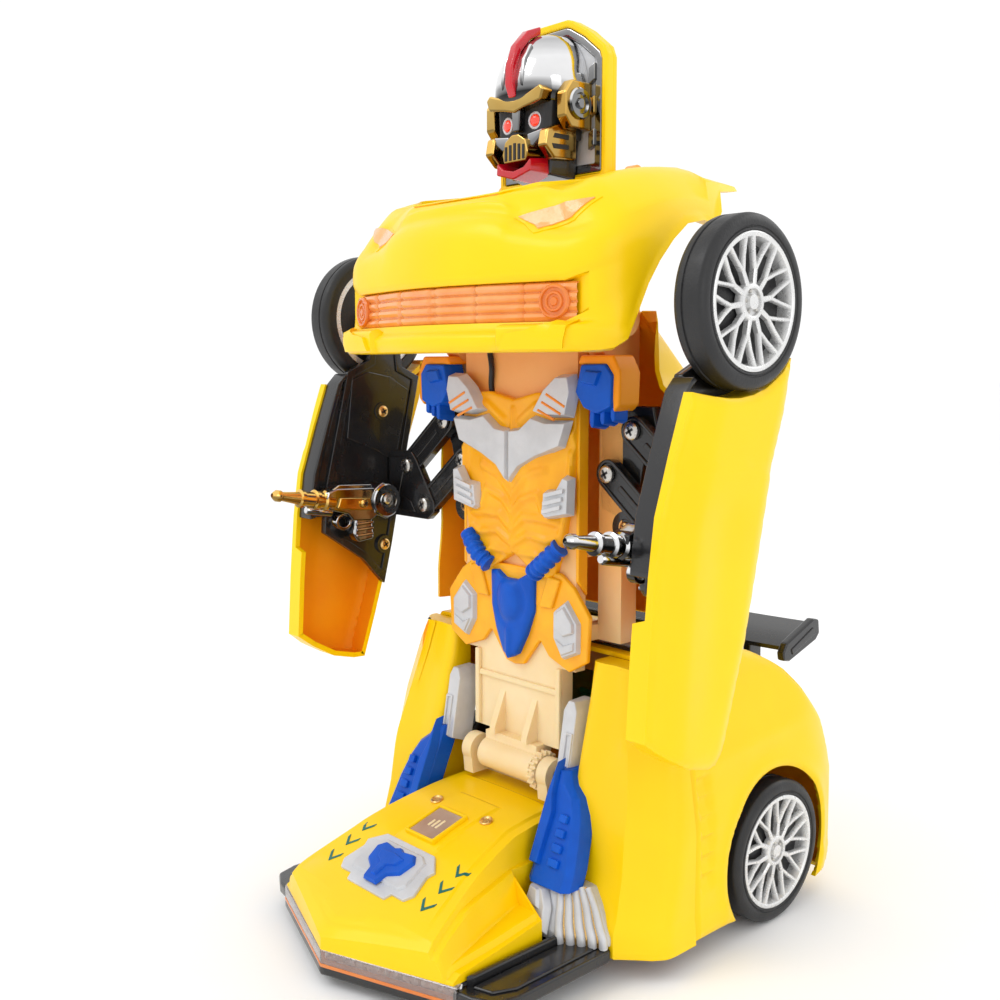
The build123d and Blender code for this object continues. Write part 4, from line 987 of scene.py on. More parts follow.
def foot_h(x, y):
    ax = abs(x)
    w = foot_w(y)
    zc = foot_c(y) - 0.0012 * ax * ax
    zs = interp(y, [-107, -95, -80, -66], [10.4, 12.2, 13.8, 15.8])
    # front chamfer towards the V of the nose
    front = -107.2 + 12.4 * ax / 34.0
    d = y - front
    t = smooth(0.0, 2.6, ax - w)
    top = zc
    # stepped flanks: a narrow ledge below the slab, then the shoulder
    ledge = min(zc - 1.6, zs + 7.5)
    if ax > w:
        a = ax - w
        if a < 0.7:
            top = zc + (ledge - zc) * smooth(0, 0.7, a)
        elif a < 1.9:
            top = ledge - (a - 0.7) * 0.25
        else:
            top = ledge - 0.3 + (zs - ledge + 0.3) * smooth(1.9, 4.4, a)
    # outer rim of the shoulder
    if ax > 31.2 and y < -66:
        top = min(top, zs - 1.4 * smooth(31.2, 31.9, ax))
    # raised field on the slab, inside its own stepped border
    b = w - 3.2
    if y < -46 and d > 3.0 and ax < w:
        top += 0.55 * (1 - smooth(b, b + 0.6, ax)) * smooth(-46, -47, y) * smooth(3.0, 4.2, d)
    # centre strip from the window back
    if -79 < y < -56 and ax < 8.2:
        top += 0.5 * (1 - smooth(7.4, 8.0, ax)) * smooth(-56, -57, y) * (1 - smooth(-78, -79, y) if y < -78 else 1)
    if d < 2.2:
        top -= (2.2 - d) * 0.55
    return max(top, 9.6)


FY = [-39.9, -41.5, -43.5, -46.0, -47.2, -50, -53, -56, -57.2, -60, -62.4, -64.6, -65.9, -66.1, -67, -68.5, -70.5, -73, -75.5, -77.5, -79, -80.2, -82.5, -85, -87.5, -90, -92.5, -94.6]
FD = [7.4, 5.8, 4.4, 3.9, 3.2, 2.6, 2.2, 1.7, 1.2, 0.7, 0.3, 0.0]
GF = []
for iy in range(len(FY) + len(FD)):
    half = []
    rear = iy < len(FY) and FY[iy] > -66.0
    yv = FY[iy] if iy < len(FY) else None
    ywid = yv if yv is not None else -95.0
    w = foot_w(ywid) if yv is not None else 27.4 + 0.2 * (1 - FD[iy - len(FY)] / 7.4)
    outer = 21.9 if rear else interp(ywid, [-95, -66], [33.9, 33.0])
    xs = [0, 0.14 * w, 0.28 * w, 7.4, 8.0, 0.5 * w, 0.64 * w, w - 3.2, w - 2.6, w - 1.2, w - 0.35, w, w + 0.25, w + 0.7, w + 0.95, w + 1.9, w + 2.4, w + 3.2, w + 4.0, w + 4.4]
    if not rear:
        xs += [max(w + 4.6, 31.2), max(w + 4.8, 31.9), outer - 0.35, outer]
        xs = [min(x, outer) for x in xs]
    else:
        xs += [outer] * 4
        xs = [min(x, outer) for x in xs]
    xs = sorted(xs)
    for x in xs:
        if yv is not None:
            yy = yv
            if yv < -80:
                q = (-80 - yv) / 14.6
                yy = -80 + (-14.6 + (2.0 * x / 34.0 - 1.0) * 0) * q
                yy = yv - q * q * (2.6 * (1 - x / 34.0) * 1.6)
        else:
            d = FD[iy - len(FY)]
            yf = -107.1 + 12.3 * x / 34.0
            y94 = -94.6 - 2.6 * (1 - x / 34.0) * 1.6
            k = (7.4 - d) / 7.4
            yy = y94 + (yf - y94) * k
        z = foot_h(x, yy)
        half.append((x, yy, z))
    ox, oy, oz = half[-1]
    half.append((ox + 0.05, oy, max(9.05, oz - 0.5)))
    half.append((ox + 0.05, oy, 9.0))
    GF.append([(-p[0], p[1], p[2]) for p in half[:0:-1]] + half)
last = GF[-1]
GF.append([(p[0], p[1], 9.0) for p in last])
foot = skin("foot_cover_skin", GF, 1.3, [YEL, YEL2], "base", sharp=20, flip=True)
swap(foot, "foot_cover")
foot_tree = surface_tree(foot)


def on_foot(name, outline, lift, thick, mat, step=1.0, bevel=0.2, sink=0.4):
    return drape(name, outline, "level", 60, foot_tree, lift, thick, mat, "base", step=step, bevel=bevel, sink=sink)


# window with a moulded frame and a pale tinted lens
sl = math.atan2(26.8 - 30.8, -77 + 63)
wn = Vector((0, -math.sin(0.279), math.cos(0.279)))
wx, wy = Vector((1, 0, 0)), Vector((0, math.cos(0.279), math.sin(0.279)))
WPL = ((0, -71.3, 28.75), wx, wy, wn)
WPL = ((0, -71.3, foot_h(0, -71.3) + 0.1), wx, wy, wn)
frm = plate("window_frame", [(-5.6, -6.2), (5.6, -6.2), (5.6, 6.2), (-5.6, 6.2)], WPL, -1.4, 0.85, YEL, "base", bevel=0.3, holes=[[(-4.7, -5.4), (4.7, -5.4), (4.7, 5.4), (-4.7, 5.4)]])
lens = plate("window_lens", [(-4.8, -5.5), (4.8, -5.5), (4.8, 5.5), (-4.8, 5.5)], WPL, -1.0, 0.35, SMOKE, "base", bevel=0.25)
swap(lens, "foot_window_lens")
for k in range(3):
    plate(f"window_slot_{k}", [(-1.4 + k * 1.4 - 0.35, -1.6), (-1.4 + k * 1.4 + 0.35, -1.6), (-1.4 + k * 1.4 + 0.35, 0.9 + 0.5 * k), (-1.4 + k * 1.4 - 0.35, 0.9 + 0.5 * k)], WPL, 0.3, 0.5, CREAM, "base", bevel=0.08)
for s, tag in ((1, "left"), (-1, "right")):
    c = Vector((s * 9.8, -63.1, foot_h(9.8, -63.1) + 0.2))
    lathe(f"foot_plug_{tag}", [(-1.0, 0), (-1.0, 1.75), (0.15, 1.75), (0.35, 1.5), (0.2, 1.1), (0.0, 0.9), (0.0, 0.0)], c, wn, BRASS, "base", seg=28, closed=False)
# emblem plate: stepped silver plate with a plain blue arch on it
SL = math.atan2(26.8 - 18.3, 18.0)
EPL = ((0, -86.0, 22.9), Vector((1, 0, 0)), Vector((0, math.cos(SL), math.sin(SL))), Vector((0, -math.sin(SL), math.cos(SL))))
ep0 = plate("emblem_base", [(-14.2, -4.2), (-12.6, -6.6), (-8.2, -6.6), (-7.4, -8.6), (7.4, -8.6), (8.2, -6.6), (12.6, -6.6), (14.2, -4.2), (12.6, 1.6), (13.4, 3.6), (9.4, 7.4), (-9.4, 7.4), (-13.4, 3.6), (-12.6, 1.6)], EPL, -0.4, 0.95, SILVER, "base", bevel=0.25)
swap(ep0, "foot_emblem_plate")
crown("emblem_step", [(-10.6, -3.4), (-9.4, -5.2), (9.4, -5.2), (10.6, -3.4), (9.6, 4.4), (7.0, 5.9), (-7.0, 5.9), (-9.6, 4.4)], EPL, 0.9, 1.5, SILVER, "base", inset=0.5, bevel=0.15)
crown("emblem_shield", [(-7.6, 2.6), (-5.6, 4.8), (-1.6, 4.2), (0.0, 5.0), (1.6, 4.2), (5.6, 4.8), (7.6, 2.6), (6.6, -1.8), (3.4, -3.6), (2.6, -6.8), (-2.6, -6.8), (-3.4, -3.6), (-6.6, -1.8)], EPL, 1.3, 2.4, BLUE, "base", inset=0.5, bevel=0.2)
crown("emblem_shield_ridge", [(-4.6, 2.0), (0.0, 2.6), (4.6, 2.0), (3.6, -0.6), (1.3, -1.6), (1.0, -5.2), (-1.0, -5.2), (-1.3, -1.6), (-3.6, -0.6)], EPL, 2.2, 2.9, BLUE, "base", inset=0.35, bevel=0.15)
for s, tag in ((1, "left"), (-1, "right")):
    for k, yy in enumerate((-79.9, -85.2, -90.6)):
        xc = 18.8
        on_foot(f"chevron_{tag}_{k}", [(s * (xc - 2.1), yy + 1.2), (s * (xc), yy - 1.2), (s * (xc + 2.1), yy + 1.2), (s * (xc + 2.1), yy + 2.1), (s * xc, yy - 0.2), (s * (xc - 2.1), yy + 2.1)], 0.02, 0.14, TEAL, step=0.7, bevel=0)

# nose lens: ribbed clear band in the V front with an amber strip under it
half_n = [(0, -107.0), (4, -105.6), (34.6, -94.7)]
lens_rows = []
GN, GR = [], []
NX = 60
for i in range(-NX, NX + 1):
    x = i * 35.0 / NX
    ax = abs(x)
    y = -107.2 + 12.4 * ax / 35.0
    nrm = Vector((12.4 / 35.0 * (1 if x > 0 else -1 if x < 0 else 0), -1.0))
    nrm.normalize()
    rib = 0.28 * (1 if (i % 4) < 2 else -1)
    def at(off, z):
        return (x + nrm.x * off * (0 if i == 0 else 1), y + nrm.y * off, z)
    GN.append([at(-1.8, 9.1), at(-0.3, 9.1), at(0.0, 8.8), at(0.0, 8.2), at(0.0, 6.9), at(0.0, 5.9), at(-0.1, 5.4)])
    GR.append([at(-2.4, 9.0), at(-2.0 + rib, 8.6), at(-1.6 + rib, 7.6), at(-1.8 + rib, 6.6), at(-2.4, 5.6)])
nl = skin("nose_lens_glass", GN, 0.7, [CLEAR], "base", sharp=40)
swap(nl, "nose_lens")
skin("nose_reflector", GR, 0.5, [RIM], "base", sharp=30)
GS, GB = [], []
for i in range(-20, 21):
    x = i * 35.2 / 20
    ax = abs(x)
    y = -107.2 + 12.4 * ax / 35.0
    sg = 0 if i == 0 else (1 if x > 0 else -1)
    nrm = Vector((12.4 / 35.0 * sg, -1.0)).normalized()
    GS.append([(x + nrm.x * o_, y + nrm.y * o_, z) for o_, z in ((-2.6, 5.6), (0.0, 5.55), (0.12, 5.3), (0.12, 4.9), (0.0, 4.7), (-2.6, 4.7))])
    GB.append([(x + nrm.x * o_, y + nrm.y * o_, z) for o_, z in ((-4.0, 4.8), (-0.1, 4.7), (0.0, 4.5), (0.0, 3.0), (-0.4, 2.6), (-4.0, 2.6), (-4.0, 4.8))])
skin("nose_amber_strip", GS, 0.0, [AMBER_D], "base", sharp=40)
skin("nose_bumper_edge", GB, 0.0, [BLACK], "base", sharp=40)
# black floor pan edges beside the foot
for s, tag in ((1, "left"), (-1, "right")):
    sk = plate(f"skirt_{tag}", [(s * 33.6, -54.2), (s * 40.0, -52.5), (s * 45.8, -55.5), (s * 45.8, -85.5), (s * 44.2, -91.0), (s * 38.8, -94.0), (s * 33.6, -94.9)], "level", 4.9, 8.1, BLACK, "base", bevel=0.8, seg=3)
    plate(f"skirt_rib_{tag}", [(s * 36.0, -56.5), (s * 43.2, -57.5), (s * 43.4, -84.0), (s * 41.0, -89.5), (s * 36.2, -91.0)], "level", 7.9, 8.7, BLACK, "base", bevel=0.4, seg=2)
    plate(f"skirt_cut_{tag}", [(s * 34.4, -60.0), (s * 36.0, -60.0), (s * 36.0, -90.0), (s * 34.4, -91.5)], "level", 7.5, 10.6, BLACK, "base", bevel=0.5)
swap(sk, "side_skirts")

# ---------------------------------------------------------------- head: a plain robot head on its folding panel
panel = [(-19.5, 193.0), (19.5, 193.0), (19.5, 222.6), (18.4, 225.4), (12.6, 230.2), (7.4, 233.3), (5.6, 233.9), (-5.6, 233.9), (-7.4, 233.3), (-12.6, 230.2), (-18.4, 225.4), (-19.5, 222.6)]
FR = ((0, 0, 0), (1, 0, 0), (0, 0, 1), (0, -1, 0))
hp = plate("head_panel_back", panel, FR, 26.9, 29.6, YEL, "head", bevel=0.9, seg=3)
swap(hp, "head_panel")
plate("head_panel_rim", panel, FR, 28.6, 31.2, YEL, "head", bevel=0.55, seg=3, holes=[inset_poly(panel, 1.9)])
inner = inset_poly(panel, 2.0)
plate("head_panel_plate", inner, FR, 29.2, 30.3, SILVER, "head", bevel=0.3)
plate("head_panel_frame", inset_poly(panel, 2.0), FR, 29.8, 31.0, CHROME, "head", bevel=0.3, holes=[inset_poly(panel, 4.2)])
for s in (1, -1):
    for k, zz in enumerate((203.0, 211.0, 219.0)):
        plate(f"head_panel_tab_{'l' if s > 0 else 'r'}{k}", [(s * 13.6, zz - 2.6), (s * 15.6, zz - 1.6), (s * 15.6, zz + 2.6), (s * 13.6, zz + 1.6)], FR, 30.0, 31.6, GOLD if k == 1 else CHROME, "head", bevel=0.25)
# helmet dome
zs_ = [212.0, 213.2, 215.0, 217.5, 220.0, 222.5, 225.0, 227.2, 229.0, 230.2, 230.8]
ws_ = [12.3, 12.7, 12.8, 12.6, 12.1, 11.4, 10.2, 8.6, 6.5, 3.9, 1.2]
fs_ = [-44.0, -44.9, -45.2, -45.2, -44.8, -44.0, -42.6, -40.7, -38.2, -35.4, -32.8]
zf = np.linspace(212.0, 230.8, 22)
wf = np.interp(zf, zs_, ws_)
ff = np.interp(zf, zs_, fs_)
GD = []
for z, w, f in zip(zf, wf, ff):
    row = []
    for k in range(41):
        a = math.pi * k / 40
        cx, sy = math.cos(a), math.sin(a)
        e = 0.78
        x = w * math.copysign(abs(cx) ** e, cx)
        y = -30.4 + (f + 30.4) * abs(sy) ** 0.72
        row.append((x, y, z))
    GD.append(row)
dome = skin("helmet_dome", GD, 1.2, [CHROME], "head", sharp=50, flip=True)
swap(dome, "helmet")
skin("helmet_cap", [[(p[0] * q, -30.4 + (p[1] + 30.4) * q, 230.8 + 0.25 * (1 - q)) for p in GD[-1]] for q in (1.0, 0.6, 0.2, 0.02)], 0.0, [CHROME], "head", flip=True)
# brow rim, crest, side discs
brow = [(-10.4, 214.2), (-9.4, 211.6), (-3.4, 210.6), (0.0, 209.8), (3.4, 210.6), (9.4, 211.6), (10.4, 214.2), (9.2, 215.4), (3.2, 213.6), (0.0, 213.0), (-3.2, 213.6), (-9.2, 215.4)]
plate("helmet_brow", brow, FR, 38.0, 44.6, GOLD, "head", bevel=0.5, seg=3)
crest = [(-45.2, 213.2), (-46.6, 216.4), (-46.4, 221.0), (-44.6, 226.2), (-40.6, 230.4), (-36.0, 232.2), (-36.0, 230.0), (-39.6, 228.4), (-42.9, 224.8), (-44.4, 220.4), (-44.4, 214.0)]
plate("helmet_crest", crest, "side", -1.3, 1.3, RED, "head", bevel=0.5, seg=3)
for s, tag in ((1, "left"), (-1, "right")):
    plate(f"helmet_band_{tag}", [(-44.6, 214.2), (-45.4, 217.5), (-44.6, 222.4), (-42.2, 226.4), (-41.4, 225.8), (-43.4, 222.0), (-44.1, 217.6), (-43.4, 214.6)], "side", s * 3.4 - 0.5, s * 3.4 + 0.5, CHROME, "head", bevel=0.2)
    ear = [(-31.0, 205.0), (-38.6, 205.0), (-40.8, 207.6), (-40.8, 213.4), (-38.4, 216.6), (-31.0, 216.6)]
    x0, x1 = (11.4, 14.6) if s > 0 else (-14.6, -11.4)
    plate(f"ear_block_{tag}", ear, "side", x0, x1, GOLD, "head", bevel=0.5, seg=3)
    lathe(f"ear_disc_{tag}", [(-0.6, 3.9), (0.5, 3.9), (0.9, 3.5), (0.9, 2.6), (0.3, 2.3), (0.3, 1.4), (1.0, 1.1), (1.0, 0.0)], (s * 14.5, -35.8, 211.0), (s, 0, 0), CHROME, "head", seg=40, closed=False)
    # jaw guard
    jaw = [(-33.0, 198.0), (-41.0, 197.6), (-44.4, 200.6), (-43.6, 204.6), (-39.2, 206.6), (-33.0, 206.2)]
    x0, x1 = (8.2, 11.2) if s > 0 else (-11.2, -8.2)
    plate(f"jaw_guard_{tag}", jaw, "side", x0, x1, GOLD, "head", bevel=0.6, seg=3)
    # the two jaw slots are thin matte black strips on the guard: painted shade of the slot recesses
    plate(f"jaw_slot_{tag}", [(-36.0, 200.2), (-41.4, 200.0), (-42.0, 201.2), (-36.0, 201.4)], "side", s * 11.1 - 0.25, s * 11.1 + 0.25, MATTE, "head", bevel=0.1)
    plate(f"jaw_slot2_{tag}", [(-36.0, 202.6), (-41.6, 202.6), (-41.0, 203.8), (-36.0, 203.8)], "side", s * 11.1 - 0.25, s * 11.1 + 0.25, MATTE, "head", bevel=0.1)
    # eye: round red lamp in a dark visor
    lathe(f"eye_lamp_{tag}", [(-1.0, 0), (-1.0, 1.55), (0.4, 1.5), (0.8, 1.15), (1.0, 0.6), (1.05, 0.0)], (s * 5.0, -41.6, 207.6), (s * 0.12, -1, 0.0), EYE, "head", seg=32, closed=False)
    lathe(f"eye_ring_{tag}", [(-0.8, 1.6), (0.35, 1.6), (0.55, 1.85), (0.35, 2.15), (-0.8, 2.3)], (s * 5.0, -41.6, 207.6), (s * 0.12, -1, 0.0), SILVER, "head", seg=32)
    plate(f"cheek_{tag}", [(s * 3.4, 204.4), (s * 8.8, 205.0), (s * 8.6, 203.2), (s * 5.6, 201.0), (s * 3.6, 201.6)], FR, 38.0, 43.2, CHROME, "head", bevel=0.35)
# dark visor bowl, mouth plate with upright slots, chin
vis = loft("visor_bowl", [[(x, -31.0, z) for x, z in ((-11.0, 203.0), (11.0, 203.0), (11.6, 212.6), (-11.6, 212.6))], [(x, -40.6, z) for x, z in ((-9.2, 203.4), (9.2, 203.4), (9.8, 212.4), (-9.8, 212.4))], [(x, -41.8, z) for x, z in ((-7.6, 204.2), (7.6, 204.2), (8.2, 211.6), (-8.2, 211.6))]], MATTE, "head", bevel=0.4)
mouth = [(-4.6, 196.8), (4.6, 196.8), (5.6, 199.8), (4.4, 203.6), (1.4, 205.4), (-1.4, 205.4), (-4.4, 203.6), (-5.6, 199.8)]
mp = crown("mouth_plate", mouth, FR, 36.0, 44.2, GOLD, "head", inset=0.9, bevel=0.3)
swap(mp, "face_mask")
# the upright slots are thin matte black strips on the plate: painted shade of the recesses
for k in range(5):
    x = -3.2 + 1.6 * k
    plate(f"mouth_slot_{k}", [(x - 0.4, 198.2), (x + 0.4, 198.2), (x + 0.4, 202.4 - 0.3 * abs(k - 2)), (x - 0.4, 202.4 - 0.3 * abs(k - 2))], FR, 43.9, 44.4, MATTE, "head", bevel=0.1)
plate("nose_bridge", [(-1.1, 205.2), (1.1, 205.2), (1.6, 211.6), (-1.6, 211.6)], FR, 40.0, 44.0, CHROME, "head", bevel=0.4)
crown("chin_guard", [(-3.6, 196.6), (-6.4, 199.0), (-6.8, 194.6), (0.0, 192.8), (6.8, 194.6), (6.4, 199.0), (3.6, 196.6), (0.0, 195.9)], FR, 37.0, 44.8, RED, "head", inset=0.5, bevel=0.4)
loft("neck_block", [[(x, -31.0, z) for x, z in ((-9.0, 193.4), (9.0, 193.4), (10.4, 204.0), (-10.4, 204.0))], [(x, -38.6, z) for x, z in ((-7.0, 194.4), (7.0, 194.4), (8.4, 204.0), (-8.4, 204.0))]], BLACK, "head", bevel=0.6)


# ---------------------------------------------------------------- arms
door_pts = [(-58.0, 140.8), (-52.0, 139.8), (-47.6, 139.3), (-43.2, 139.3), (-38.6, 139.9), (-34.0, 141.2), (-30.4, 143.0), (-27.0, 145.0), (-23.0, 148.0), (-25.5, 136.0), (-31.0, 120.6), (-35.2, 101.5), (-39.0, 85.0), (-43.6, 70.0), (-47.6, 57.8), (-51.6, 58.0), (-58.8, 59.8), (-66.0, 63.8), (-71.2, 67.6), (-70.2, 85.0), (-68.7, 102.6), (-67.0, 115.0), (-62.5, 128.5)]
front_line = [(-58.0, 140.8), (-62.5, 128.5), (-67.0, 115.0), (-68.7, 102.6), (-70.2, 85.0), (-71.2, 67.6), (-58.8, 59.8)]
rear_line = [(-23.0, 148.0), (-25.5, 136.0), (-31.0, 120.6), (-35.2, 101.5), (-39.0, 85.0), (-43.6, 70.0), (-47.6, 57.8)]
win_line = [(-66.5, 121.0), (-60.0, 124.4), (-52.0, 125.8), (-44.0, 125.5), (-36.0, 124.0), (-29.0, 121.0)]


def line_d(line, x, y):
    return min(seg_dist(x, y, *line[i], *line[i + 1])[0] for i in range(len(line) - 1))


def door_h(y, z):
    h = 71.35
    df = line_d(front_line[:-1], y, z)
    dr = line_d(rear_line, y, z)
    # the leading strip folds in towards the front edge
    h -= 2.6 * (1 - smooth(0.0, 10.5, df)) * (1 - 0.35 * smooth(120, 138, z))
    # soft waist: a shallow hollow between two long folds
    h -= 0.7 * math.exp(-(((y + 50 - (z - 100) * 0.12) / 6.5) ** 2)) * smooth(62, 76, z) * (1 - smooth(112, 122, z))
    h -= 0.9 * (1 - smooth(0.0, 4.0, dr))
    # the pane above the belt line lies a little lower, with a fine groove at its edge
    zl = interp(y, [p[0] for p in win_line], [p[1] for p in win_line])
    if z > zl:
        h -= 0.45 * smooth(0, 0.8, z - zl)
    d = abs(z - zl)
    if d < 0.6:
        h -= 0.35 * (1 - d / 0.6)
    # bottom edge rolls under
    if z < 64:
        h -= 0.9 * (1 - smooth(57.5, 64, z)) ** 2
    return h


for s, tag in ((1, "left"), (-1, "right")):
    SP = ((0, 0, 0), (0, 1, 0), (0, 0, 1), (s, 0, 0))
    d = field(f"door_skin_{tag}", door_pts, SP, door_h, 1.5, [YEL, SHADE_ORANGE], f"arm_{tag}", step=1.1, wall=lambda y, z: 66.3 if (z > 93 and line_d(front_line[:5], y, z) < 1.5) else 62.95, edge=1.1, sharp=38)
    swap(d, f"door_{tag}")
    arm = f"arm_{tag}"
    # black inner frame: plate, raised rim, ribs, screws
    fp = [(-54.0, 144.4), (-46.0, 148.0), (-45.6, 160.5), (-43.8, 163.0), (-37.4, 163.0), (-35.6, 160.5), (-34.0, 146.0), (-27.5, 143.0), (-33.0, 118.0), (-38.5, 92.0), (-41.5, 80.0), (-49.4, 88.5), (-63.0, 97.5), (-62.0, 112.0)]
    f = plate(f"arm_frame_plate_{tag}", fp, SP, 61.0, 62.8, BLACK, arm, bevel=0.4)
    swap(f, f"arm_frame_{tag}")
    plate(f"arm_frame_rim_{tag}", fp[:-1] + [fp[-1]], SP, 60.4, 61.3, BLACK, arm, bevel=0.35, holes=[inset_poly(fp, 2.2)])
    plate(f"arm_frame_step_{tag}", [(-52.5, 142.0), (-46.5, 144.5), (-38.5, 143.0), (-31.5, 139.0), (-36.8, 117.0), (-44.0, 121.0), (-54.5, 125.0)], SP, 60.5, 61.3, BLACK, arm, bevel=0.3)
    for k, (y, z) in enumerate(((-41.7, 132.6), (-34.3, 90.6 + 6))):
        yy, zz = (y, z) if k == 0 else (-41.6, 92.2)
        lathe(f"screw_boss_{tag}_{k}", [(0, 0), (0, 3.0), (1.0, 2.7), (1.0, 0.0)], (s * 61.1, yy, zz), (-s, 0, 0), BLACK, arm, seg=28, closed=False)
        screw(f"arm_screw_{tag}_{k}", (s * 60.2, yy, zz), (-s, 0, 0), 1.7, BRASS, arm)
    wl = [(-54.4, 144.0), (-57.4, 140.9), (-61.9, 128.4), (-66.4, 114.8), (-67.9, 103.4), (-68.0, 102.0)]
    plate(f"arm_frame_wall_{tag}", wl + [(-65.9, 102.2), (-65.8, 102.9), (-64.2, 115.3), (-59.8, 129.3), (-55.6, 141.4), (-53.2, 143.2)], SP, 60.5, 66.5, BLACK, arm, bevel=0.45)
    plate(f"arm_frame_web_{tag}", [(-57.4, 139.6), (-61.4, 128.4), (-65.6, 114.6), (-67.1, 103.8), (-67.0, 102.4), (-60.0, 102.4), (-60.6, 112.0), (-54.6, 139.0)], SP, 61.2, 62.6, BLACK, arm, bevel=0.3)
    # wheel carrier and hub pin
    lathe(f"wheel_pin_{tag}", [(-0.1, 0), (-0.1, 3.0), (0.35, 3.0), (0.5, 1.46), (7.2, 1.46), (7.6, 1.1), (7.6, 0)], (s * 62.7, -40.6, 159.9), (s, 0, 0), STEEL, arm, seg=32, closed=False)
    # lug that the links carry
    P1X, P1Z, P2X, P2Z = 52.476, 116.506, 44.476, 105.506
    lug = [(s * x, z) for x, z in ((P1X - 4.4, P1Z + 2.0), (P1X - 2.0, P1Z + 4.4), (60.8, P1Z + 4.4), (60.8, P2Z - 4.4), (P2X - 1.6, P2Z - 4.4), (P2X - 4.6, P2Z - 2.0), (P2X - 4.4, P2Z + 1.0))]
    plate(f"arm_lug_{tag}", lug, FR, 36.2, 38.7, BLACK, arm, bevel=0.45)
    plate(f"arm_lug_rib_{tag}", [(s * x, z) for x, z in ((52.0, 119.0), (60.6, 119.0), (60.6, 103.0), (48.0, 103.0), (50.0, 106.0), (56.0, 108.0))], FR, 38.4, 39.3, BLACK, arm, bevel=0.3)
    screw(f"lug_screw_a_{tag}", (s * P1X, -38.9, P1Z), (0, -1, 0), 2.1, STEEL, arm)
    screw(f"lug_screw_b_{tag}", (s * P2X, -38.9, P2Z), (0, -1, 0), 2.1, STEEL, arm)
    # gun pivot pin
    lathe(f"gun_pin_{tag}", [(-0.2, 0), (-0.2, 1.45), (8.2, 1.45), (8.6, 1.0), (8.6, 0)], (s * 60.6, -46.0, 107.0), (-s, 0, 0), STEEL, arm, seg=24, closed=False)

    # links: two parallel black bars with raised rims
    u = math.radians(-39.5)
    for nm, px_, pz_ in (("upper", 35.5, 130.5), ("lower", 27.5, 119.5)):
        cx, cz = px_ + 16.976 / 2, pz_ - 13.994 / 2
        LP = ((s * cx, 0, cz), (s * math.cos(u), 0, math.sin(u)), (-s * math.sin(u), 0, math.cos(u)), (0, -1, 0))
        slot = [(11 + 3.68 * math.cos(a), 3.68 * math.sin(a)) for a in np.linspace(-math.pi / 2, math.pi / 2, 14)] + [(-11 + 3.68 * math.cos(a), 3.68 * math.sin(a)) for a in np.linspace(math.pi / 2, 3 * math.pi / 2, 14)]
        hin = [[(sx * 11 + 1.42 * math.cos(a), 1.42 * math.sin(a)) for a in np.linspace(0, 2 * math.pi, 20, endpoint=False)] for sx in (-1, 1)]
        b = f"link_{nm}_{tag}"
        lk = plate(f"link_bar_{nm}_{tag}", slot, LP, 35.6, 38.0, BLACK, b, bevel=0.35, holes=hin)
        swap(lk, b)
        plate(f"link_rim_{nm}_{tag}", slot, LP, 37.6, 38.5, BLACK, b, bevel=0.3, holes=[inset_poly(slot, 1.0)])
        plate(f"link_web_{nm}_{tag}", [(-6.2, -0.7), (6.2, -0.7), (6.2, 0.7), (-6.2, 0.7)], LP, 37.6, 38.4, BLACK, b, bevel=0.25)

    # blaster: stepped barrel, slide, grip, guard, round mount
    G_ = f"gun_{tag}"
    body = [(-47.5, 104.2), (-47.5, 109.2), (-50.5, 110.6), (-63.0, 111.2), (-66.2, 110.4), (-66.8, 108.6), (-66.0, 105.2), (-59.5, 103.6), (-57.6, 101.4), (-51.4, 101.0), (-49.0, 102.4)]
    g0 = plate(f"blaster_body_{tag}", body, SP, 53.4, 59.0, BLACK if s > 0 else CHROME, G_, bevel=0.5, seg=3)
    swap(g0, G_)
    plate(f"blaster_slide_{tag}", [(-49.5, 108.0), (-50.5, 111.6), (-62.0, 112.2), (-64.5, 110.8), (-64.0, 108.4)], SP, 54.2, 58.2, CHROME, G_, bevel=0.35)
    plate(f"blaster_side_{tag}", [(-51.0, 104.0), (-52.0, 107.8), (-62.5, 108.6), (-63.6, 105.6), (-58.5, 104.6)], SP, 52.8, 59.6, GOLD if s < 0 else BLACK, G_, bevel=0.4)
    plate(f"blaster_grip_{tag}", [(-50.8, 102.6), (-50.0, 95.4), (-55.6, 94.8), (-57.2, 97.0), (-56.6, 102.4)], SP, 53.8, 58.4, BLACK if s > 0 else CHROME, G_, bevel=0.8, seg=3)
    for k in range(3):
        plate(f"blaster_grip_rib_{tag}_{k}", [(-50.6, 96.6 + 1.7 * k), (-56.6, 96.4 + 1.7 * k), (-56.6, 97.3 + 1.7 * k), (-50.6, 97.5 + 1.7 * k)], SP, 53.4, 58.8, CHROME, G_, bevel=0.2)
    ring = [(-59.8 + 2.9 * math.cos(a), 101.2 + 2.5 * math.sin(a)) for a in np.linspace(0, 2 * math.pi, 24, endpoint=False)]
    ringi = [(-59.8 + 1.9 * math.cos(a), 101.3 + 1.6 * math.sin(a)) for a in np.linspace(0, 2 * math.pi, 24, endpoint=False)]
    plate(f"blaster_guard_{tag}", ring, SP, 55.0, 57.4, CHROME, G_, bevel=0.25, holes=[ringi])
    bd = Vector((0, -0.985, 0.174))
    lathe(f"blaster_barrel_{tag}", [(a_, r_ * 1.08) for a_, r_ in ((-2.0, 0), (-2.0, 2.9), (0.6, 2.9), (1.1, 2.3), (2.4, 2.3), (2.7, 2.75), (3.9, 2.75), (4.2, 2.1), (7.4, 1.95), (7.7, 2.4), (8.7, 2.4), (9.0, 1.7), (14.6, 1.2), (15.0, 1.55), (16.4, 1.5), (17.2, 0.95), (17.6, 0.55), (16.6, 0.5), (15.8, 0.0))], Vector((s * 56.2, -65.8, 107.6)), bd, GOLD if s < 0 else CHROME, G_, seg=36, closed=False)
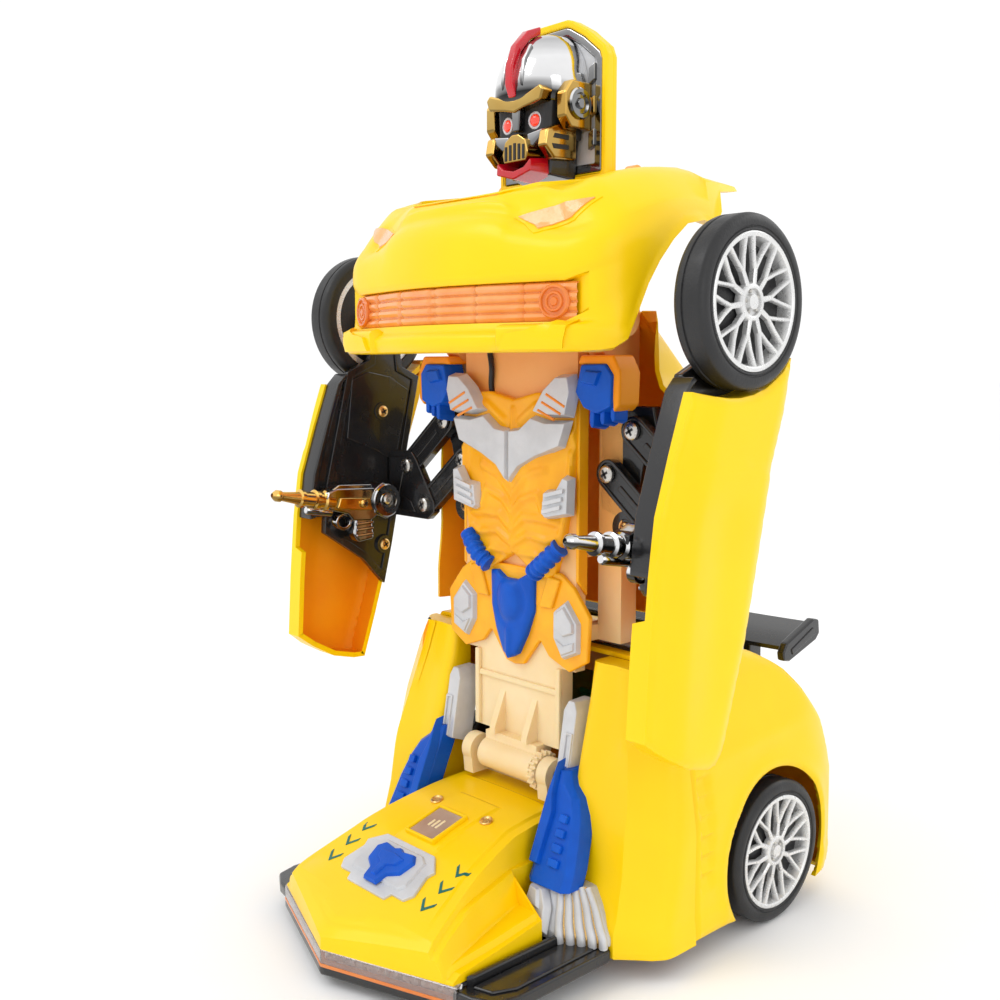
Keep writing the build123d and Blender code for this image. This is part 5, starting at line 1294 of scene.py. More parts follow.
    lathe(f"blaster_under_{tag}", [(-1.5, 0), (-1.5, 1.25), (6.4, 1.25), (6.9, 0.9), (6.9, 0.0)], Vector((s * 56.2, -65.4, 104.4)), bd, CHROME, G_, seg=24, closed=False)
    for sgn, x_ in ((-1, 53.0), (1, 59.2)):
        lathe(f"blaster_mount_{tag}_{'a' if sgn < 0 else 'b'}", [(-0.7, 4.9), (0.15, 4.9), (0.5, 4.6), (0.5, 3.4), (0.15, 3.2), (0.15, 2.4), (0.4, 2.2), (0.4, 1.62), (-0.7, 1.62)], (s * x_, -46.0, 106.6), (sgn * s, 0, 0), CHROME, G_, seg=40)
    plate(f"blaster_yoke_{tag}", [(-42.4, 102.2), (-42.4, 110.6), (-47.0, 112.0), (-50.4, 110.0), (-50.4, 102.8), (-46.0, 101.0)], SP, 53.2, 59.2, CHROME, G_, bevel=0.6, seg=3, holes=[[(-46 + 1.6 * math.cos(a), 107 + 1.6 * math.sin(a)) for a in np.linspace(0, 2 * math.pi, 20, endpoint=False)]])
    screw(f"blaster_screw_{tag}", (s * 52.6, -54.6, 106.4), (-s, 0, 0), 1.3, GOLD, G_)

# ---------------------------------------------------------------- torso
chest_out = [(-21.4, 139), (-9, 139.5), (0, 137.5), (9, 139.5), (21.4, 139), (21.2, 126), (20.6, 116), (17.6, 101), (14.6, 92.2), (9, 92.0), (0, 97.0), (-9, 92.0), (-14.6, 92.2), (-17.6, 101), (-20.6, 116), (-21.2, 126)]
ribs_l = [
    ([(0.0, 116.0), (6.5, 121.5), (14.5, 124.5), (20.5, 129.0)], 2.4, 1.1),
    ([(0.0, 112.5), (5.0, 117.8), (11.5, 119.8)], 1.8, 1.0),
    ([(0.0, 108.0), (3.6, 111.6), (9.8, 113.6), (11.6, 109.0)], 1.7, 1.1),
    ([(0.0, 103.4), (4.6, 107.2), (10.6, 107.2), (16.0, 106.6)], 1.9, 1.2),
    ([(0.0, 99.4), (5.8, 102.6), (12.8, 101.6), (16.6, 103.0)], 1.7, 1.1),
    ([(2.5, 97.4), (8.2, 97.6), (13.2, 94.2)], 1.6, 1.0),
    ([(3.0, 132.0), (9.0, 136.0), (18.5, 137.0)], 1.8, 0.9),
    ([(0.0, 98.0), (0.0, 135.0)], 1.3, 0.8),
    ([(12.5, 92.6), (16.4, 100.4), (19.6, 112.0), (20.6, 124.0)], 2.0, 1.1),
]


def chest_h(x, z):
    ax = abs(x)
    h = 44.6 - 0.0028 * ax * ax
    h += 0.6 * math.exp(-((ax - 9.5) ** 2) / 42.0) * smooth(96, 110, z)
    e = 0.0
    for line, w, a in ribs_l:
        e = max(e, ridge(ax, z, line, w, a))
    return h + e


chest = field("chest_relief_skin", chest_out, FR, chest_h, 0.0, [ORANGE], "torso", step=0.55, wall=42.3, edge=0.6, sharp=50)
swap(chest, "chest_relief")
plate("chest_lower_plate", [(-14, 84), (14, 84), (13.4, 92.4), (-13.4, 92.4)], FR, 42.4, 44.0, ORANGE, "torso", bevel=0.4)


def engraved(name, outline, t0, t1, lines, mat, body, inset=1.0, plane=FR, lw=0.38, bevel=0.25, col=None):
    """A sloped-edge plate with thin raised colour lines on its face."""
    o = crown(name, outline, plane, t0, t1, mat, body, inset=inset, bevel=bevel)
    o0, ex, ey, n = axes(plane)
    for k, (a, b) in enumerate(lines):
        pa = o0 + ex * a[0] + ey * a[1] + n * (t1 - 0.08)
        pb = o0 + ex * b[0] + ey * b[1] + n * (t1 - 0.08)
        tube(f"{name}_line{k}", [tuple(pa), tuple(pb)], lw, col or LINE, body, seg=8, smooth=0)
    return o


for s, tag in ((1, "left"), (-1, "right")):
    m_ = lambda pts: [(s * p[0], p[1]) for p in pts]
    # shoulder-to-breast plates: an upper one with three colour lines, a broad lower one that meets its twin in a plain vee
    w = engraved(f"chest_plate_{tag}", m_([(9.0, 134.4), (13.6, 140.8), (18.0, 144.2), (23.0, 144.4), (24.0, 139.8), (22.2, 133.4), (14.0, 133.2)]), 44.6, 47.9, [((s * 15.4, 139.2), (s * 21.8, 136.2)), ((s * 13.9, 137.2), (s * 20.4, 134.4)), ((s * 12.5, 135.2), (s * 18.2, 132.9))], SILVER, "torso", inset=0.9)
    crown(f"chest_vee_{tag}", m_([(0.0, 115.0), (4.6, 119.8), (10.4, 122.6), (19.4, 125.8), (22.2, 132.9), (14.2, 132.6), (8.8, 133.8), (4.4, 130.6), (0.0, 130.0)]), FR, 44.8, 47.2, SILVER, "torso", inset=0.8, bevel=0.25)
    # side vents: slanted slats
    crown(f"side_vent_{tag}", m_([(11.8, 108.6), (13.6, 107.2), (22.2, 109.0), (22.6, 118.6), (19.6, 119.2), (17.0, 115.4), (12.8, 115.0)]), FR, 44.4, 46.8, SILVER, "torso", inset=0.8, bevel=0.2)
    for k in range(3):
        plate(f"vent_slat_{tag}_{k}", m_([(13.4 + 0.3 * k, 108.9 + 2.1 * k), (19.8 + 0.5 * k, 110.6 + 2.1 * k), (19.8 + 0.5 * k, 111.7 + 2.1 * k), (13.4 + 0.3 * k, 110.0 + 2.1 * k)]), FR, 46.4, 47.5, SILVER, "torso", bevel=0.12)
    # hip plates with facets
    hpz = [(14.4, 76.6), (18.2, 70.6), (24.8, 73.6), (24.9, 82.0), (19.8, 88.2), (14.4, 84.2)]
    crown(f"hip_plate_{tag}", m_(hpz), FR, 42.4, 45.2, SILVER, "torso", inset=1.3, bevel=0.25)
    crown(f"hip_plate_top_{tag}", m_([(15.8, 79.6), (19.4, 77.4), (23.4, 79.0), (23.2, 82.0), (19.6, 86.2), (15.8, 83.6)]), FR, 44.6, 46.0, SILVER, "torso", inset=0.7, bevel=0.2)
    crown(f"hip_plate_low_{tag}", m_([(15.8, 77.6), (18.6, 72.4), (23.3, 74.6), (23.4, 77.6), (19.4, 75.9)]), FR, 44.6, 45.7, SILVER, "torso", inset=0.5, bevel=0.2)
    # ringed hose from hip to belt
    a, b = Vector((s * 17.4, -44.6, 100.6)), Vector((s * 8.6, -45.2, 93.0))
    mid = (a + b) / 2 + Vector((0, -0.9, -0.5))
    path = catmull([tuple(a), tuple(mid), tuple(b)], 16)
    rr = [2.55 if (i // 3) % 2 == 0 else 2.1 for i in range(len(path))]
    tube(f"belt_hose_{tag}", path, 1.9, BLUE, "torso", seg=20, smooth=0, radii=rr)
    # shoulder pad: casing in the same orange as the shell insides, faceted blue pad with three fingers
    plate(f"pad_case_{tag}", m_([(24.0, 146.6), (25.0, 148.8), (35.6, 148.8), (37.8, 144.8), (37.6, 137.0), (35.6, 135.2), (35.0, 143.4), (33.0, 146.4)]), FR, 38.2, 45.8, SHADE_ORANGE, "torso", bevel=0.6, seg=3)
    crown(f"shoulder_pad_{tag}", m_([(22.8, 139.6), (25.0, 147.6), (34.2, 147.8), (37.0, 144.4), (36.6, 135.8), (31.0, 133.6), (26.0, 135.2)]), FR, 40.4, 46.6, BLUE, "torso", inset=1.2, bevel=0.4)
    for k in range(3):
        x0 = 28.0 + 2.9 * k
        crown(f"pad_finger_{tag}_{k}", m_([(x0, 137.8 + 0.3 * k), (x0 + 2.4, 138.1 + 0.3 * k), (x0 + 2.2, 131.4 + 0.8 * k), (x0 + 0.7, 130.6 + 0.8 * k), (x0 - 0.2, 132.4 + 0.8 * k)]), FR, 40.6, 46.0 - 0.5 * k, BLUE, "torso", inset=0.5, bevel=0.3)
    crown(f"pad_crest_{tag}", m_([(26.0, 142.0), (27.6, 145.4), (33.0, 145.0), (31.2, 141.2)]), FR, 46.2, 47.5, BLUE, "torso", inset=0.5, bevel=0.2)
    # pivot bracket behind the pad
    br = m_([(29.4, 136.4), (38.8, 136.4), (40.4, 130.5), (36.4, 123.6), (33.6, 112.0), (29.4, 107.6), (22.0, 110.0), (22.0, 134.0)])
    q = plate(f"pivot_bracket_{tag}", br, FR, 31.6, 34.8, BLACK, "torso", bevel=0.4)
    for k, (x, z) in enumerate(((35.5, 130.5), (27.5, 119.5))):
        lathe(f"pivot_boss_{tag}_{k}", [(0, 0), (0, 2.6), (0.7, 2.4), (0.7, 1.32), (4.0, 1.32), (4.0, 0.0)], (s * x, -34.7, z), (0, -1, 0), BLACK, "torso", seg=28, closed=False)
        screw(f"pivot_screw_{tag}_{k}", (s * x, -38.7, z), (0, -1, 0), 2.2, STEEL, "torso")
    lathe(f"round_boss_{tag}", [(-0.6, 0), (-0.6, 4.4), (0.3, 4.1), (0.3, 2.2), (0.1, 2.0), (0.1, 0.0)], (s * 30.4, -34.6, 106.0), (0, -1, 0), BLACK, "torso", seg=36, closed=False)
    screw(f"boss_screw_{tag}", (s * 30.4, -34.6, 106.0), (0, -1, 0), 1.5, BRASS, "torso")
swap(w, "chest_wings")
swap(q, "shoulder_brackets")
swap(bpy.data.objects["shoulder_pad_left"], "shoulder_pads")
swap(bpy.data.objects["side_vent_left"], "chest_trims")
gr_out = [(-8.4, 91.6), (-5.6, 92.0), (-2.6, 90.2), (2.6, 90.2), (5.6, 92.0), (8.4, 91.6), (8.1, 82.4), (5.6, 76.0), (2.4, 70.2), (0, 68.9), (-2.4, 70.2), (-5.6, 76.0), (-8.1, 82.4)]


def groin_h(x, z):
    ax = abs(x)
    h = 46.4 - 0.055 * ax * ax * 0.35
    dd = ((x / 4.3) ** 2 + ((z - 84.6) / 5.2) ** 2)
    if dd < 1:
        h += 1.0 * math.sqrt(1 - dd)
    h += 0.6 * math.exp(-(ax / 0.9) ** 2) * (1 - smooth(76, 79, z))
    h -= 0.35 * math.exp(-((math.sqrt(dd) - 1.25) / 0.14) ** 2)
    return h


gro = field("groin_shield", gr_out, FR, groin_h, 0.0, [BLUE], "torso", step=0.5, wall=43.6, edge=1.0, sharp=50)
swap(gro, "belt_and_groin")
case = [(-27.0, 83.6), (-26.2, 72.0), (-20.0, 68.4), (-12.6, 71.2), (-9.4, 75.0), (-3.4, 67.4), (0.0, 66.8), (3.4, 67.4), (9.4, 75.0), (12.6, 71.2), (20.0, 68.4), (26.2, 72.0), (27.0, 83.6), (21.4, 90.4), (16.6, 93.6), (-16.6, 93.6), (-21.4, 90.4)]
plate("hip_casing", case, FR, 42.35, 43.9, ORANGE, "torso", bevel=0.5, seg=3)
for s in (1, -1):
    plate(f"torso_side_{'l' if s > 0 else 'r'}", [(-42.6, 92.0), (-42.6, 138.0), (-39.2, 141.0), (-39.2, 88.0)], ((0, 0, 0), (0, 1, 0), (0, 0, 1), (s, 0, 0)), 20.9, 22.0, ORANGE, "torso", bevel=0.3)
for s in (1, -1):
    t = "l" if s > 0 else "r"
    plate(f"waist_rail_{t}", [(s * 12.9, 92.6), (s * 17.4, 92.0), (s * 14.4, 84.2), (s * 9.6, 84.0)], FR, 42.4, 44.8, ORANGE, "torso", bevel=0.5)
    # moulded ribs and rails on the cream lower frame
    plate(f"frame_rail_{t}", [(s * 14.8, 47.0), (s * 16.4, 47.0), (s * 16.4, 68.4), (s * 14.8, 68.4)], FR, 42.2, 43.6, CREAM, "torso", bevel=0.3)
plate("frame_crossbar", [(-16.4, 61.0), (16.4, 61.0), (16.4, 62.6), (-16.4, 62.6)], FR, 42.2, 43.2, CREAM, "torso", bevel=0.3)
tube("lead_black_wire", [(-10.0, -39.0, 126.0), (-10.2, -42.9, 140.5), (-9.6, -43.4, 146.0), (-11.2, -43.0, 151.5)], 0.75, LEAD, "torso", seg=10)
swap(bpy.data.objects["lead_black_wire"], "lead_wire")



# ---------------------------------------------------------------- legs and car body
def leg_front(z):
    return interp(z, [5.5, 6, 12, 15, 24, 36, 50, 64, 72.4], [-54.9, -55.2, -54.9, -53.6, -51.4, -49.9, -46.6, -43.3, -41.9])


def leg_out(z):
    return interp(z, [5.5, 9, 12.5, 34, 50, 66, 72.4], [55.3, 55.2, 54.7, 54.7, 52.2, 46.9, 43.2])


LZ = sorted(set([5.6, 6.2, 7.5, 9.5, 11.5, 12.6, 13.6, 15, 17, 19, 21.5, 24] + [24 + 2.2 * k for k in range(1, 22)] + [71.6, 72.1]))
for s, tag in ((1, "left"), (-1, "right")):
    GL = []
    for z in LZ:
        yf = leg_front(z)
        xo = leg_out(z)
        xc = interp(z, [6, 40, 72], [46.5, 45.0, 38.5])
        pts = [(26.3, -36.5), (26.3, -39.0), (26.3, yf + 2.2), (26.5, yf + 0.9), (27.3, yf + 0.1), (28.6, yf - 0.15), (31.0, yf - 0.1), (33.6, yf + 0.35)]
        # soft vertical fold in the shin face
        kk = min(1.0, (-35.6 - yf) / 13.5)
        pts += [(36.0, yf + 0.3), (39.0, yf + 0.15), (xc - 3.0, yf), (xc - 0.4, yf - 0.1), (xc + 0.5, yf + 0.8 * kk)]
        pts += [(xc + (xo - xc) * 0.4, yf + 3.7 * kk), (xc + (xo - xc) * 0.72, yf + 6.2 * kk), (xo - 0.5, yf + 9.0 * kk), (xo - 0.1, yf + 10.8 * kk)]
        y0 = yf + 12.5 * kk
        for q in (0.0, 0.35, 0.7, 1.0):
            yy = y0 + (-35.1 - y0) * q
            if yy < y0:
                yy = y0
            pts.append((xo, min(-35.1, max(pts[-1][1] + 0.05, yy))))
        GL.append([(s * x, y, z) for x, y in pts])
    cap = [(p[0], p[1]) for p in GL[-1]]
    cap.append((s * 43.0, -35.2))
    cap.append((s * 26.3, -35.2))
    cap2 = []
    for p in cap:
        if not cap2 or math.hypot(p[0] - cap2[-1][0], p[1] - cap2[-1][1]) > 0.25:
            cap2.append(p)
    plate(f"leg_cap_{tag}", inset_poly(cap2, 0.3) if False else cap2, "level", 70.9, 72.5, YEL, "base", bevel=0.5, seg=3)
    lg = skin(f"leg_skin_{tag}", GL, 1.5, [YEL, SHADE_ORANGE], "base", sharp=38, flip=(s < 0))
    swap(lg, f"leg_shell_{tag}")
    m_ = lambda pts: [(s * p[0], p[1]) for p in pts]
    SP = ((0, 0, 0), (0, 1, 0), (0, 0, 1), (s, 0, 0))
    # thigh trim: silver, slotted, notched hem
    TP = ((0, -45.9, 50.4), (s, 0, 0), (0, 0.17, 0.985), (0, -0.985, 0.17))
    th = crown(f"thigh_plate_{tag}", [(19.2, -9.4), (25.7, -9.4), (25.7, 9.2), (24.2, 12.4), (20.9, 12.4), (19.2, 9.0)], TP, -5.0, 1.5, SILVER, "base", inset=1.1, bevel=0.3)
    plate(f"thigh_slot_{tag}", [(22.0, -8.0), (24.5, -8.0), (24.5, 3.4), (22.0, 3.4)], TP, 1.0, 1.95, SILVER, "base", bevel=0.2, holes=[[(22.6, -7.4), (23.9, -7.4), (23.9, 2.8), (22.6, 2.8)]])
    # blue shin with a spike running up into the thigh
    shin = [[(s * x, y, z) for x, y in ((22.2, y0 + 6.5), (x1, y0 + 6.5), (x1, y0 + 1.6), (x1 - 1.6, y0), (24.6, y0 - 0.4), (22.6, y0 + 1.2))] for z, y0, x1 in ((20.0, -61.6, 36.2), (24.0, -59.6, 35.8), (30.0, -57.2, 34.8), (36.0, -54.6, 33.2), (40.0, -52.8, 31.2), (42.4, -51.9, 28.2), (45.6, -50.6, 26.4))]
    sh = loft(f"shin_{tag}", shin, BLUE, "base", bevel=0.45)
    SP2 = ((0, -56.2, 32.6), (s, 0, 0), (0, 0.38, 0.925), (0, -0.925, 0.38))
    crown(f"shin_spike_{tag}", [(22.6, 8.0), (23.9, 17.6), (25.2, 8.2), (26.6, 4.0), (26.2, -9.6), (22.6, -9.6)], SP2, -1.2, 1.6, BLUE, "base", inset=0.6, bevel=0.25)
    for k in range(4):
        plate(f"shin_pip_{tag}_{k}", [(28.6, -8.6 + 3.6 * k), (31.8 - 0.3 * k, -8.6 + 3.6 * k), (31.8 - 0.3 * k, -6.6 + 3.6 * k), (28.6, -6.6 + 3.6 * k)], SP2, -0.4, 1.0, BLUE, "base", bevel=0.25)
    # boot: stepped silver toe with curved ribs
    bz = [(8.4, -64.8, 34.2, -63.0, 45.2, -55.6), (10.6, -65.0, 34.2, -63.2, 45.2, -55.8), (13.0, -64.2, 33.4, -62.4, 43.4, -55.2), (17.0, -62.4, 32.4, -60.6, 40.8, -54.4), (20.4, -60.6, 31.2, -59.0, 37.8, -53.8)]
    boot = [[(s * x, y, z) for x, y in ((24.2, -51.0), (x2, -51.0), (x2, y2), (x1, y1), (24.2, ya))] for z, ya, x1, y1, x2, y2 in bz]
    bt = loft(f"boot_{tag}", boot, SILVER, "base", bevel=0.5)
    BP = ((0, -63.2, 14.4), (s, 0, 0), (0, 0.42, 0.907), (0, -0.907, 0.42))
    crown(f"boot_toe_{tag}", [(24.6, -4.2), (33.4, -4.6), (32.4, 1.8), (29.6, 6.0), (24.8, 6.4)], BP, -0.6, 1.7, SILVER, "base", inset=0.9, bevel=0.3)
    crown(f"boot_cap_{tag}", [(25.4, 0.6), (30.6, 0.4), (28.8, 5.2), (25.4, 5.6)], BP, 1.4, 2.5, SILVER, "base", inset=0.6, bevel=0.2)
    for k in range(5):
        t = 0.1 + 0.2 * k
        pts = [(s * (x1 + (x2 - x1) * t + 0.35), y1 + (y2 - y1) * t - 0.45, z) for z, ya, x1, y1, x2, y2 in bz]
        tube(f"boot_rib_{tag}_{k}", pts, 1.0, SILVER, "base", seg=12, radii=[1.1, 1.1, 1.05, 0.95, 0.8])
        if k < 4:
            t += 0.1
            pts = [(s * (x1 + (x2 - x1) * t + 0.2), y1 + (y2 - y1) * t - 0.25, z) for z, ya, x1, y1, x2, y2 in bz]
            tube(f"boot_gap_{tag}_{k}", pts, 0.45, BRASS, "base", seg=8)

    # car side behind the leg
    side_out = [(-34.7, 6.2), (-34.7, 73.3), (-11, 73.3), (-4, 72.2), (2, 70.3), (8, 67.4), (13, 64.3), (19, 58.6), (24, 52.3), (27.5, 47.9), (31, 39.9), (32.7, 32), (33.1, 26), (33.1, 14.4), (31.4, 10.8), (29, 8.2), (24.2, 6.2)]
    arc = [(22.4 * math.cos(a), 19 + 22.4 * math.sin(a)) for a in np.linspace(math.radians(-34.8), math.radians(214.8), 44)]
    outline = side_out + [(18.6, 6.2)] + arc[1:-1] + [(-18.6, 6.2)]

    def side_h(y, z):
        x = interp(z, [6, 12, 34, 50, 66, 74], [55.2, 55.0, 54.7, 51.9, 46.4, 41.8])
        # rounding towards the tail
        tail = max(0.0, (y - 14) / 19.0)
        x -= 5.2 * tail ** 2.2
        r = math.hypot(y, z - 19)
        x += 0.65 * (1 - smooth(22.4, 27.5, r)) if r < 28 else 0
        # shoulder line running back from the door
        zl = 47.5 + 0.10 * (y + 35)
        x += 0.5 * math.exp(-((z - zl) / 2.6) ** 2) * (1 - smooth(10, 26, y))
        # short ribs of the side vent
        if -33.2 < y < -27.0 and 17 < z < 47:
            k = (z - 17.5) / 4.8
            f = k - math.floor(k)
            x -= 0.9 * (smooth(0.28, 0.4, f) - smooth(0.86, 0.98, f)) * smooth(-33.2, -32.6, y) * (1 - smooth(-28.4, -27.2, y))
        # sill
        if z < 13.5 and abs(y) > 22:
            x += 0.25 * (1 - smooth(11.8, 13.2, z))
        return x

    sd = field(f"body_side_{tag}", outline, SP, side_h, 1.4, [YEL, SHADE_ORANGE], "base", step=1.2, edge=1.4, cuts=[((-33.2, 0), (1, 0)), ((-32.6, 0), (1, 0))], sharp=42)

# deck and tail, across the car
dk = [(-34.7, 73.5), (-30, 73.55), (-24, 73.6), (-18, 73.6), (-11, 73.5), (-4, 72.4), (2, 70.6), (8, 67.7), (13, 64.6), (19, 58.9), (24, 52.6), (27.5, 48.1), (29.5, 43.8), (31.2, 39.9), (32.6, 34), (33.1, 28), (33.2, 21), (33.15, 14.6), (31.4, 10.9), (29.2, 8.3), (24.4, 6.3)]
GDk = []
for y, z in catmull(dk, 2):
    xo = interp(z, [6, 12, 34, 50, 66, 74], [55.2, 55.0, 54.7, 51.9, 46.4, 41.8])
    tail = max(0.0, (y - 14) / 19.0)
    xo -= 5.2 * tail ** 2.2
    row = []
    for q in np.linspace(-1, 1, 49):
        x = xo * q
        e = max(0.0, (abs(q) - 0.955) / 0.045)
        d = 0.9 * e * e
        # crown across the width
        cr = 0.5 * (1 - q * q)
        # number plate pocket on the tail
        rec = 0.0
        if y > 26 and 20 < z < 36 and abs(x) < 17:
            rec = 1.0 * smooth(20, 21.5, z) * (1 - smooth(34, 35.5, z)) * (1 - smooth(15.5, 17, abs(x)))
        if y < 20:
            row.append((x, y, z - d + cr * 0.4))
        else:
            row.append((x, y - d - rec + cr * 0.2, z - d * 0.3))
    GDk.append(row)
deck = skin("body_deck", GDk, 1.4, [YEL, SHADE_ORANGE], "base", sharp=40)
swap(deck, "rear_body_shell")
# rear window: dark pane with four raised louvres on the deck, as in the car form
RW = ((0, 9.5, 68.3), (1, 0, 0), (0, 0.855, -0.519), (0, 0.519, 0.855))
plate("deck_panel", [(-30, -7.5), (30, -7.5), (33, 6.0), (-33, 6.0)], RW, -0.8, 0.55, BLACK, "base", bevel=0.4)
for k in range(4):
    plate(f"deck_louvre_{k}", [(-27, -6.0 + 3.0 * k), (27, -6.0 + 3.0 * k), (27.8, -4.6 + 3.0 * k), (-27.8, -4.6 + 3.0 * k)], RW, 0.3, 1.2, BLACK, "base", bevel=0.3)
plate("deck_strip_black", [(-40.5, -31.5), (40.5, -31.5), (40.5, -22.5), (-40.5, -22.5)], "level", 73.2, 74.4, BLACK, "base", bevel=0.4)
plate("deck_strip_silver", [(-38.0, -30.0), (-22.0, -30.0), (-20.0, -24.0), (-38.0, -24.0)], "level", 74.2, 75.0, SILVER, "base", bevel=0.3)
plate("deck_strip_silver_l", [(38.0, -30.0), (22.0, -30.0), (20.0, -24.0), (38.0, -24.0)], "level", 74.2, 75.0, SILVER, "base", bevel=0.3)
# spoiler: one blade with curved section, end plates, two posts
sec = [(17.4, 68.4), (20.0, 69.9), (24.5, 71.6), (30.6, 73.4), (31.2, 72.8), (30.4, 71.6), (25.0, 69.9), (20.5, 68.0), (17.6, 67.2)]
rings = []
for x in np.linspace(-43.4, 43.4, 15):
    q = abs(x) / 43.4
    rings.append([(x, y - 1.6 * q * q, z + 1.1 * q * q) for y, z in sec])
spo = loft("spoiler_blade", rings, BLACK, "base", bevel=0, sharp=42)
swap(spo, "rear_spoiler")
for s in (1, -1):
    t = "l" if s > 0 else "r"
    SP = ((0, 0, 0), (0, 1, 0), (0, 0, 1), (s, 0, 0))
    plate(f"spoiler_end_{t}", [(14.4, 68.0), (16.0, 70.6), (29.0, 75.6), (31.8, 75.0), (32.4, 71.0), (30.6, 69.2), (17.6, 65.2), (14.8, 65.8)], SP, 43.0, 45.4, BLACK, "base", bevel=0.6, seg=3)
    plate(f"spoiler_end_in_{t}", [(18.0, 68.6), (28.6, 73.2), (29.8, 71.2), (18.6, 67.0)], SP, 45.1, 45.7, BLACK, "base", bevel=0.2)
    plate(f"spoiler_post_{t}", [(17.6, 59.0), (18.6, 68.9), (24.0, 70.4), (24.4, 51.5)], SP, 29.2, 31.6, BLACK, "base", bevel=0.5)
    # tail lamps
    TL = ((0, 31.6, 35.6), (1, 0, 0), (0, -0.21, 0.978), (0, 0.978, 0.21))
    lm = crown(f"tail_lamp_{t}", [(s * 20.4, -3.6), (s * 41.0, -3.6), (s * 43.0, 1.0), (s * 40.2, 4.2), (s * 22.0, 4.0)], TL, -1.2, 1.0, REDL, "base", inset=0.6, bevel=0.25)
    for k in range(5):
        plate(f"tail_lamp_rib_{t}_{k}", [(s * (22.6 + 3.8 * k), -2.6), (s * (23.4 + 3.8 * k), -2.6), (s * (24.2 + 3.8 * k), 3.2), (s * (23.4 + 3.8 * k), 3.2)], TL, 0.8, 1.3, REDL, "base", bevel=0.15)
swap(lm, "tail_light_lenses")

swap(bpy.data.objects["thigh_plate_left"], "thigh_trims")
swap(bpy.data.objects["shin_left"], "shin_guards")
swap(bpy.data.objects["boot_left"], "ankle_boots")
# roof of the car form, carried on the robot's back: outer skin, inside in the painted shade orange, dark glass
RZ = [77.5, 79.5, 82, 86, 90, 95, 100, 104, 108, 112, 117, 122, 126, 129, 132, 135, 138, 141.5, 145, 149, 153, 157, 159.5]
back_z = [76.5, 90.0, 108.0, 129.0, 141.5, 160.0]
back_y = [-7.0, 1.0, 5.5, 3.0, -10.0, -31.0]
front_z = [82.5, 87.0, 98.0, 120.0, 140.0, 160.0]
front_y = [-34.6, -34.6, -33.2, -33.2, -30.6, -30.9]
GRf = []
for z in RZ:
    yb = interp(z, back_z, back_y)
    yfz = min(interp(z, front_z, front_y), yb - 1.0)
    wf_ = 43.2 if z < 141 else interp(z, [141, 143, 160], [39.0, 37.4, 36.6])
    wb_ = 33.8
    half = []
    for q in (0.0, 0.3, 0.55, 0.75, 0.88, 0.955):
        half.append((wb_ * q, yb - 0.9 * q ** 4))
    half += [(wb_ - 0.3, yb - 1.9), (wb_ + 0.6, yb - 3.6)]
    ys = yb - 3.6
    for t in (0.25, 0.5, 0.75, 1.0):
        y_ = ys + (yfz - ys) * t
        half.append((wb_ + 0.6 + (wf_ - wb_ - 0.6) * min(1.0, t * max(1.0, (ys - yfz) / 34.0) * 1.0), y_))
    row = [(-x, y, z) for x, y in half[:0:-1]] + [(x, y, z) for x, y in half]
    GRf.append(row)
rf = skin("roof_skin", GRf, 1.2, [YEL, SHADE_ORANGE], "roof", sharp=40, flip=True)
swap(rf, "roof_shell")
roof_tree = surface_tree(rf)
BACKP = ((0, 0, 0), (1, 0, 0), (0, 0, 1), (0, 1, 0))
drape("roof_rear_glass", [(-28.5, 79.0), (28.5, 79.0), (26.5, 88.8), (-26.5, 88.8)], BACKP, 100, roof_tree, 0.0, 0.6, BLACK, "roof", step=1.5, bevel=0.2)
drape("roof_windscreen", [(-28.5, 131.0), (28.5, 131.0), (27.0, 156.0), (-27.0, 156.0)], BACKP, 100, roof_tree, 0.0, 0.6, BLACK, "roof", step=1.5, bevel=0.2)
for s, t in ((1, "l"), (-1, "r")):
    SIDEP = ((0, 0, 0), (0, 1, 0), (0, 0, 1), (s, 0, 0))
    drape(f"roof_side_glass_{t}", [(-29.0, 96.0), (-4.0, 96.0), (-1.5, 104.0), (-3.0, 121.0), (-20.0, 133.0), (-29.0, 129.0)], SIDEP, 100, roof_tree, 0.0, 0.6, BLACK, "roof", step=1.5, bevel=0.2)
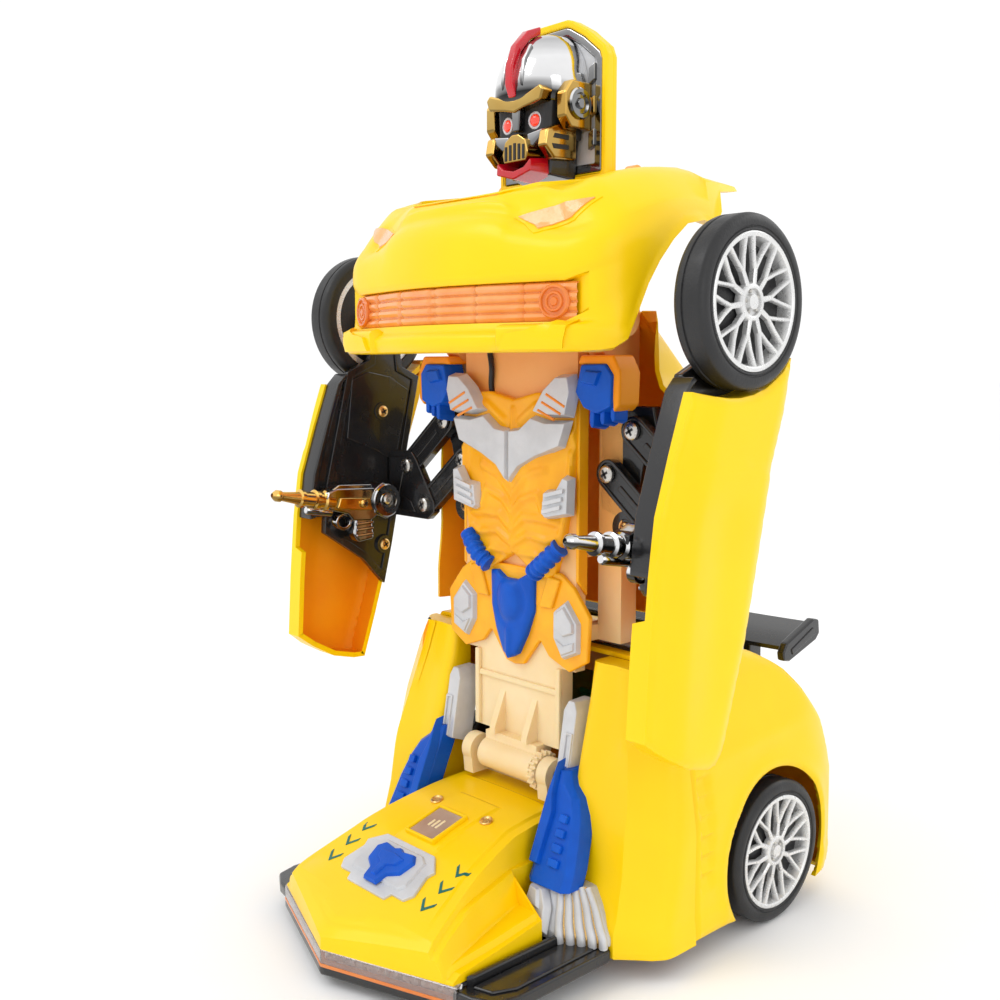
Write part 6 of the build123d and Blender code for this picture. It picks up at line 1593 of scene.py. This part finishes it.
# the lift gear is moulded in the frame's own cream
for sl in bpy.data.objects["lift_gear"].material_slots:
    sl.material = CREAM


# ---------------------------------------------------------------- stage, light, camera
floor_mat = surface("floor_paper", (0.97, 0.97, 0.97), (0.955, 0.955, 0.955), rough=(0.6, 0.75), scale=6, bump=0.02, grain=300)
fm = bpy.data.meshes.new("floor")
R = 12.0
ring = [(R * math.cos(2 * math.pi * k / 64), R * math.sin(2 * math.pi * k / 64), -0.0002) for k in range(64)]
fm.from_pydata(ring, [], [tuple(range(64))])
fm.materials.append(floor_mat)
floor = bpy.data.objects.new("floor", fm)
bpy.context.scene.collection.objects.link(floor)

scene = bpy.context.scene
scene.view_settings.view_transform = "Standard"
scene.view_settings.look = "None"
scene.view_settings.exposure = 0.0
world = bpy.data.worlds.new("studio")
scene.world = world
world.use_nodes = True
bg = world.node_tree.nodes["Background"]
bg.inputs["Color"].default_value = (1.0, 1.0, 1.0, 1)
bg.inputs["Strength"].default_value = 1.05


def area(name, loc, aim, size, power, colour=(1, 1, 1)):
    d = bpy.data.lights.new(name, "AREA")
    d.shape = "RECTANGLE"
    d.size, d.size_y = size
    d.energy = power
    d.color = colour
    o = bpy.data.objects.new(name, d)
    bpy.context.scene.collection.objects.link(o)
    o.location = loc
    o.rotation_euler = (Vector(aim) - Vector(loc)).to_track_quat("-Z", "Y").to_euler()
    return o


area("key", (-0.35, -0.75, 0.95), (0, 0, 0.1), (0.55, 0.45), 2.6)
area("fill", (0.95, -0.25, 0.45), (0, 0, 0.12), (0.5, 0.6), 0.9)
area("rim", (0.3, 0.9, 0.7), (0, 0, 0.12), (0.7, 0.4), 1.2)

cam = bpy.data.cameras.new("camera")
cam.lens = 41.22
cam.sensor_width = 36.0
cam.clip_start = 0.01
cam_o = bpy.data.objects.new("camera", cam)
scene.collection.objects.link(cam_o)
cam_o.location = (0.217424, -0.213202, 0.146398)
cam_o.rotation_euler = (math.radians(90 - 6.720), 0, math.radians(47.253))
scene.camera = cam_o
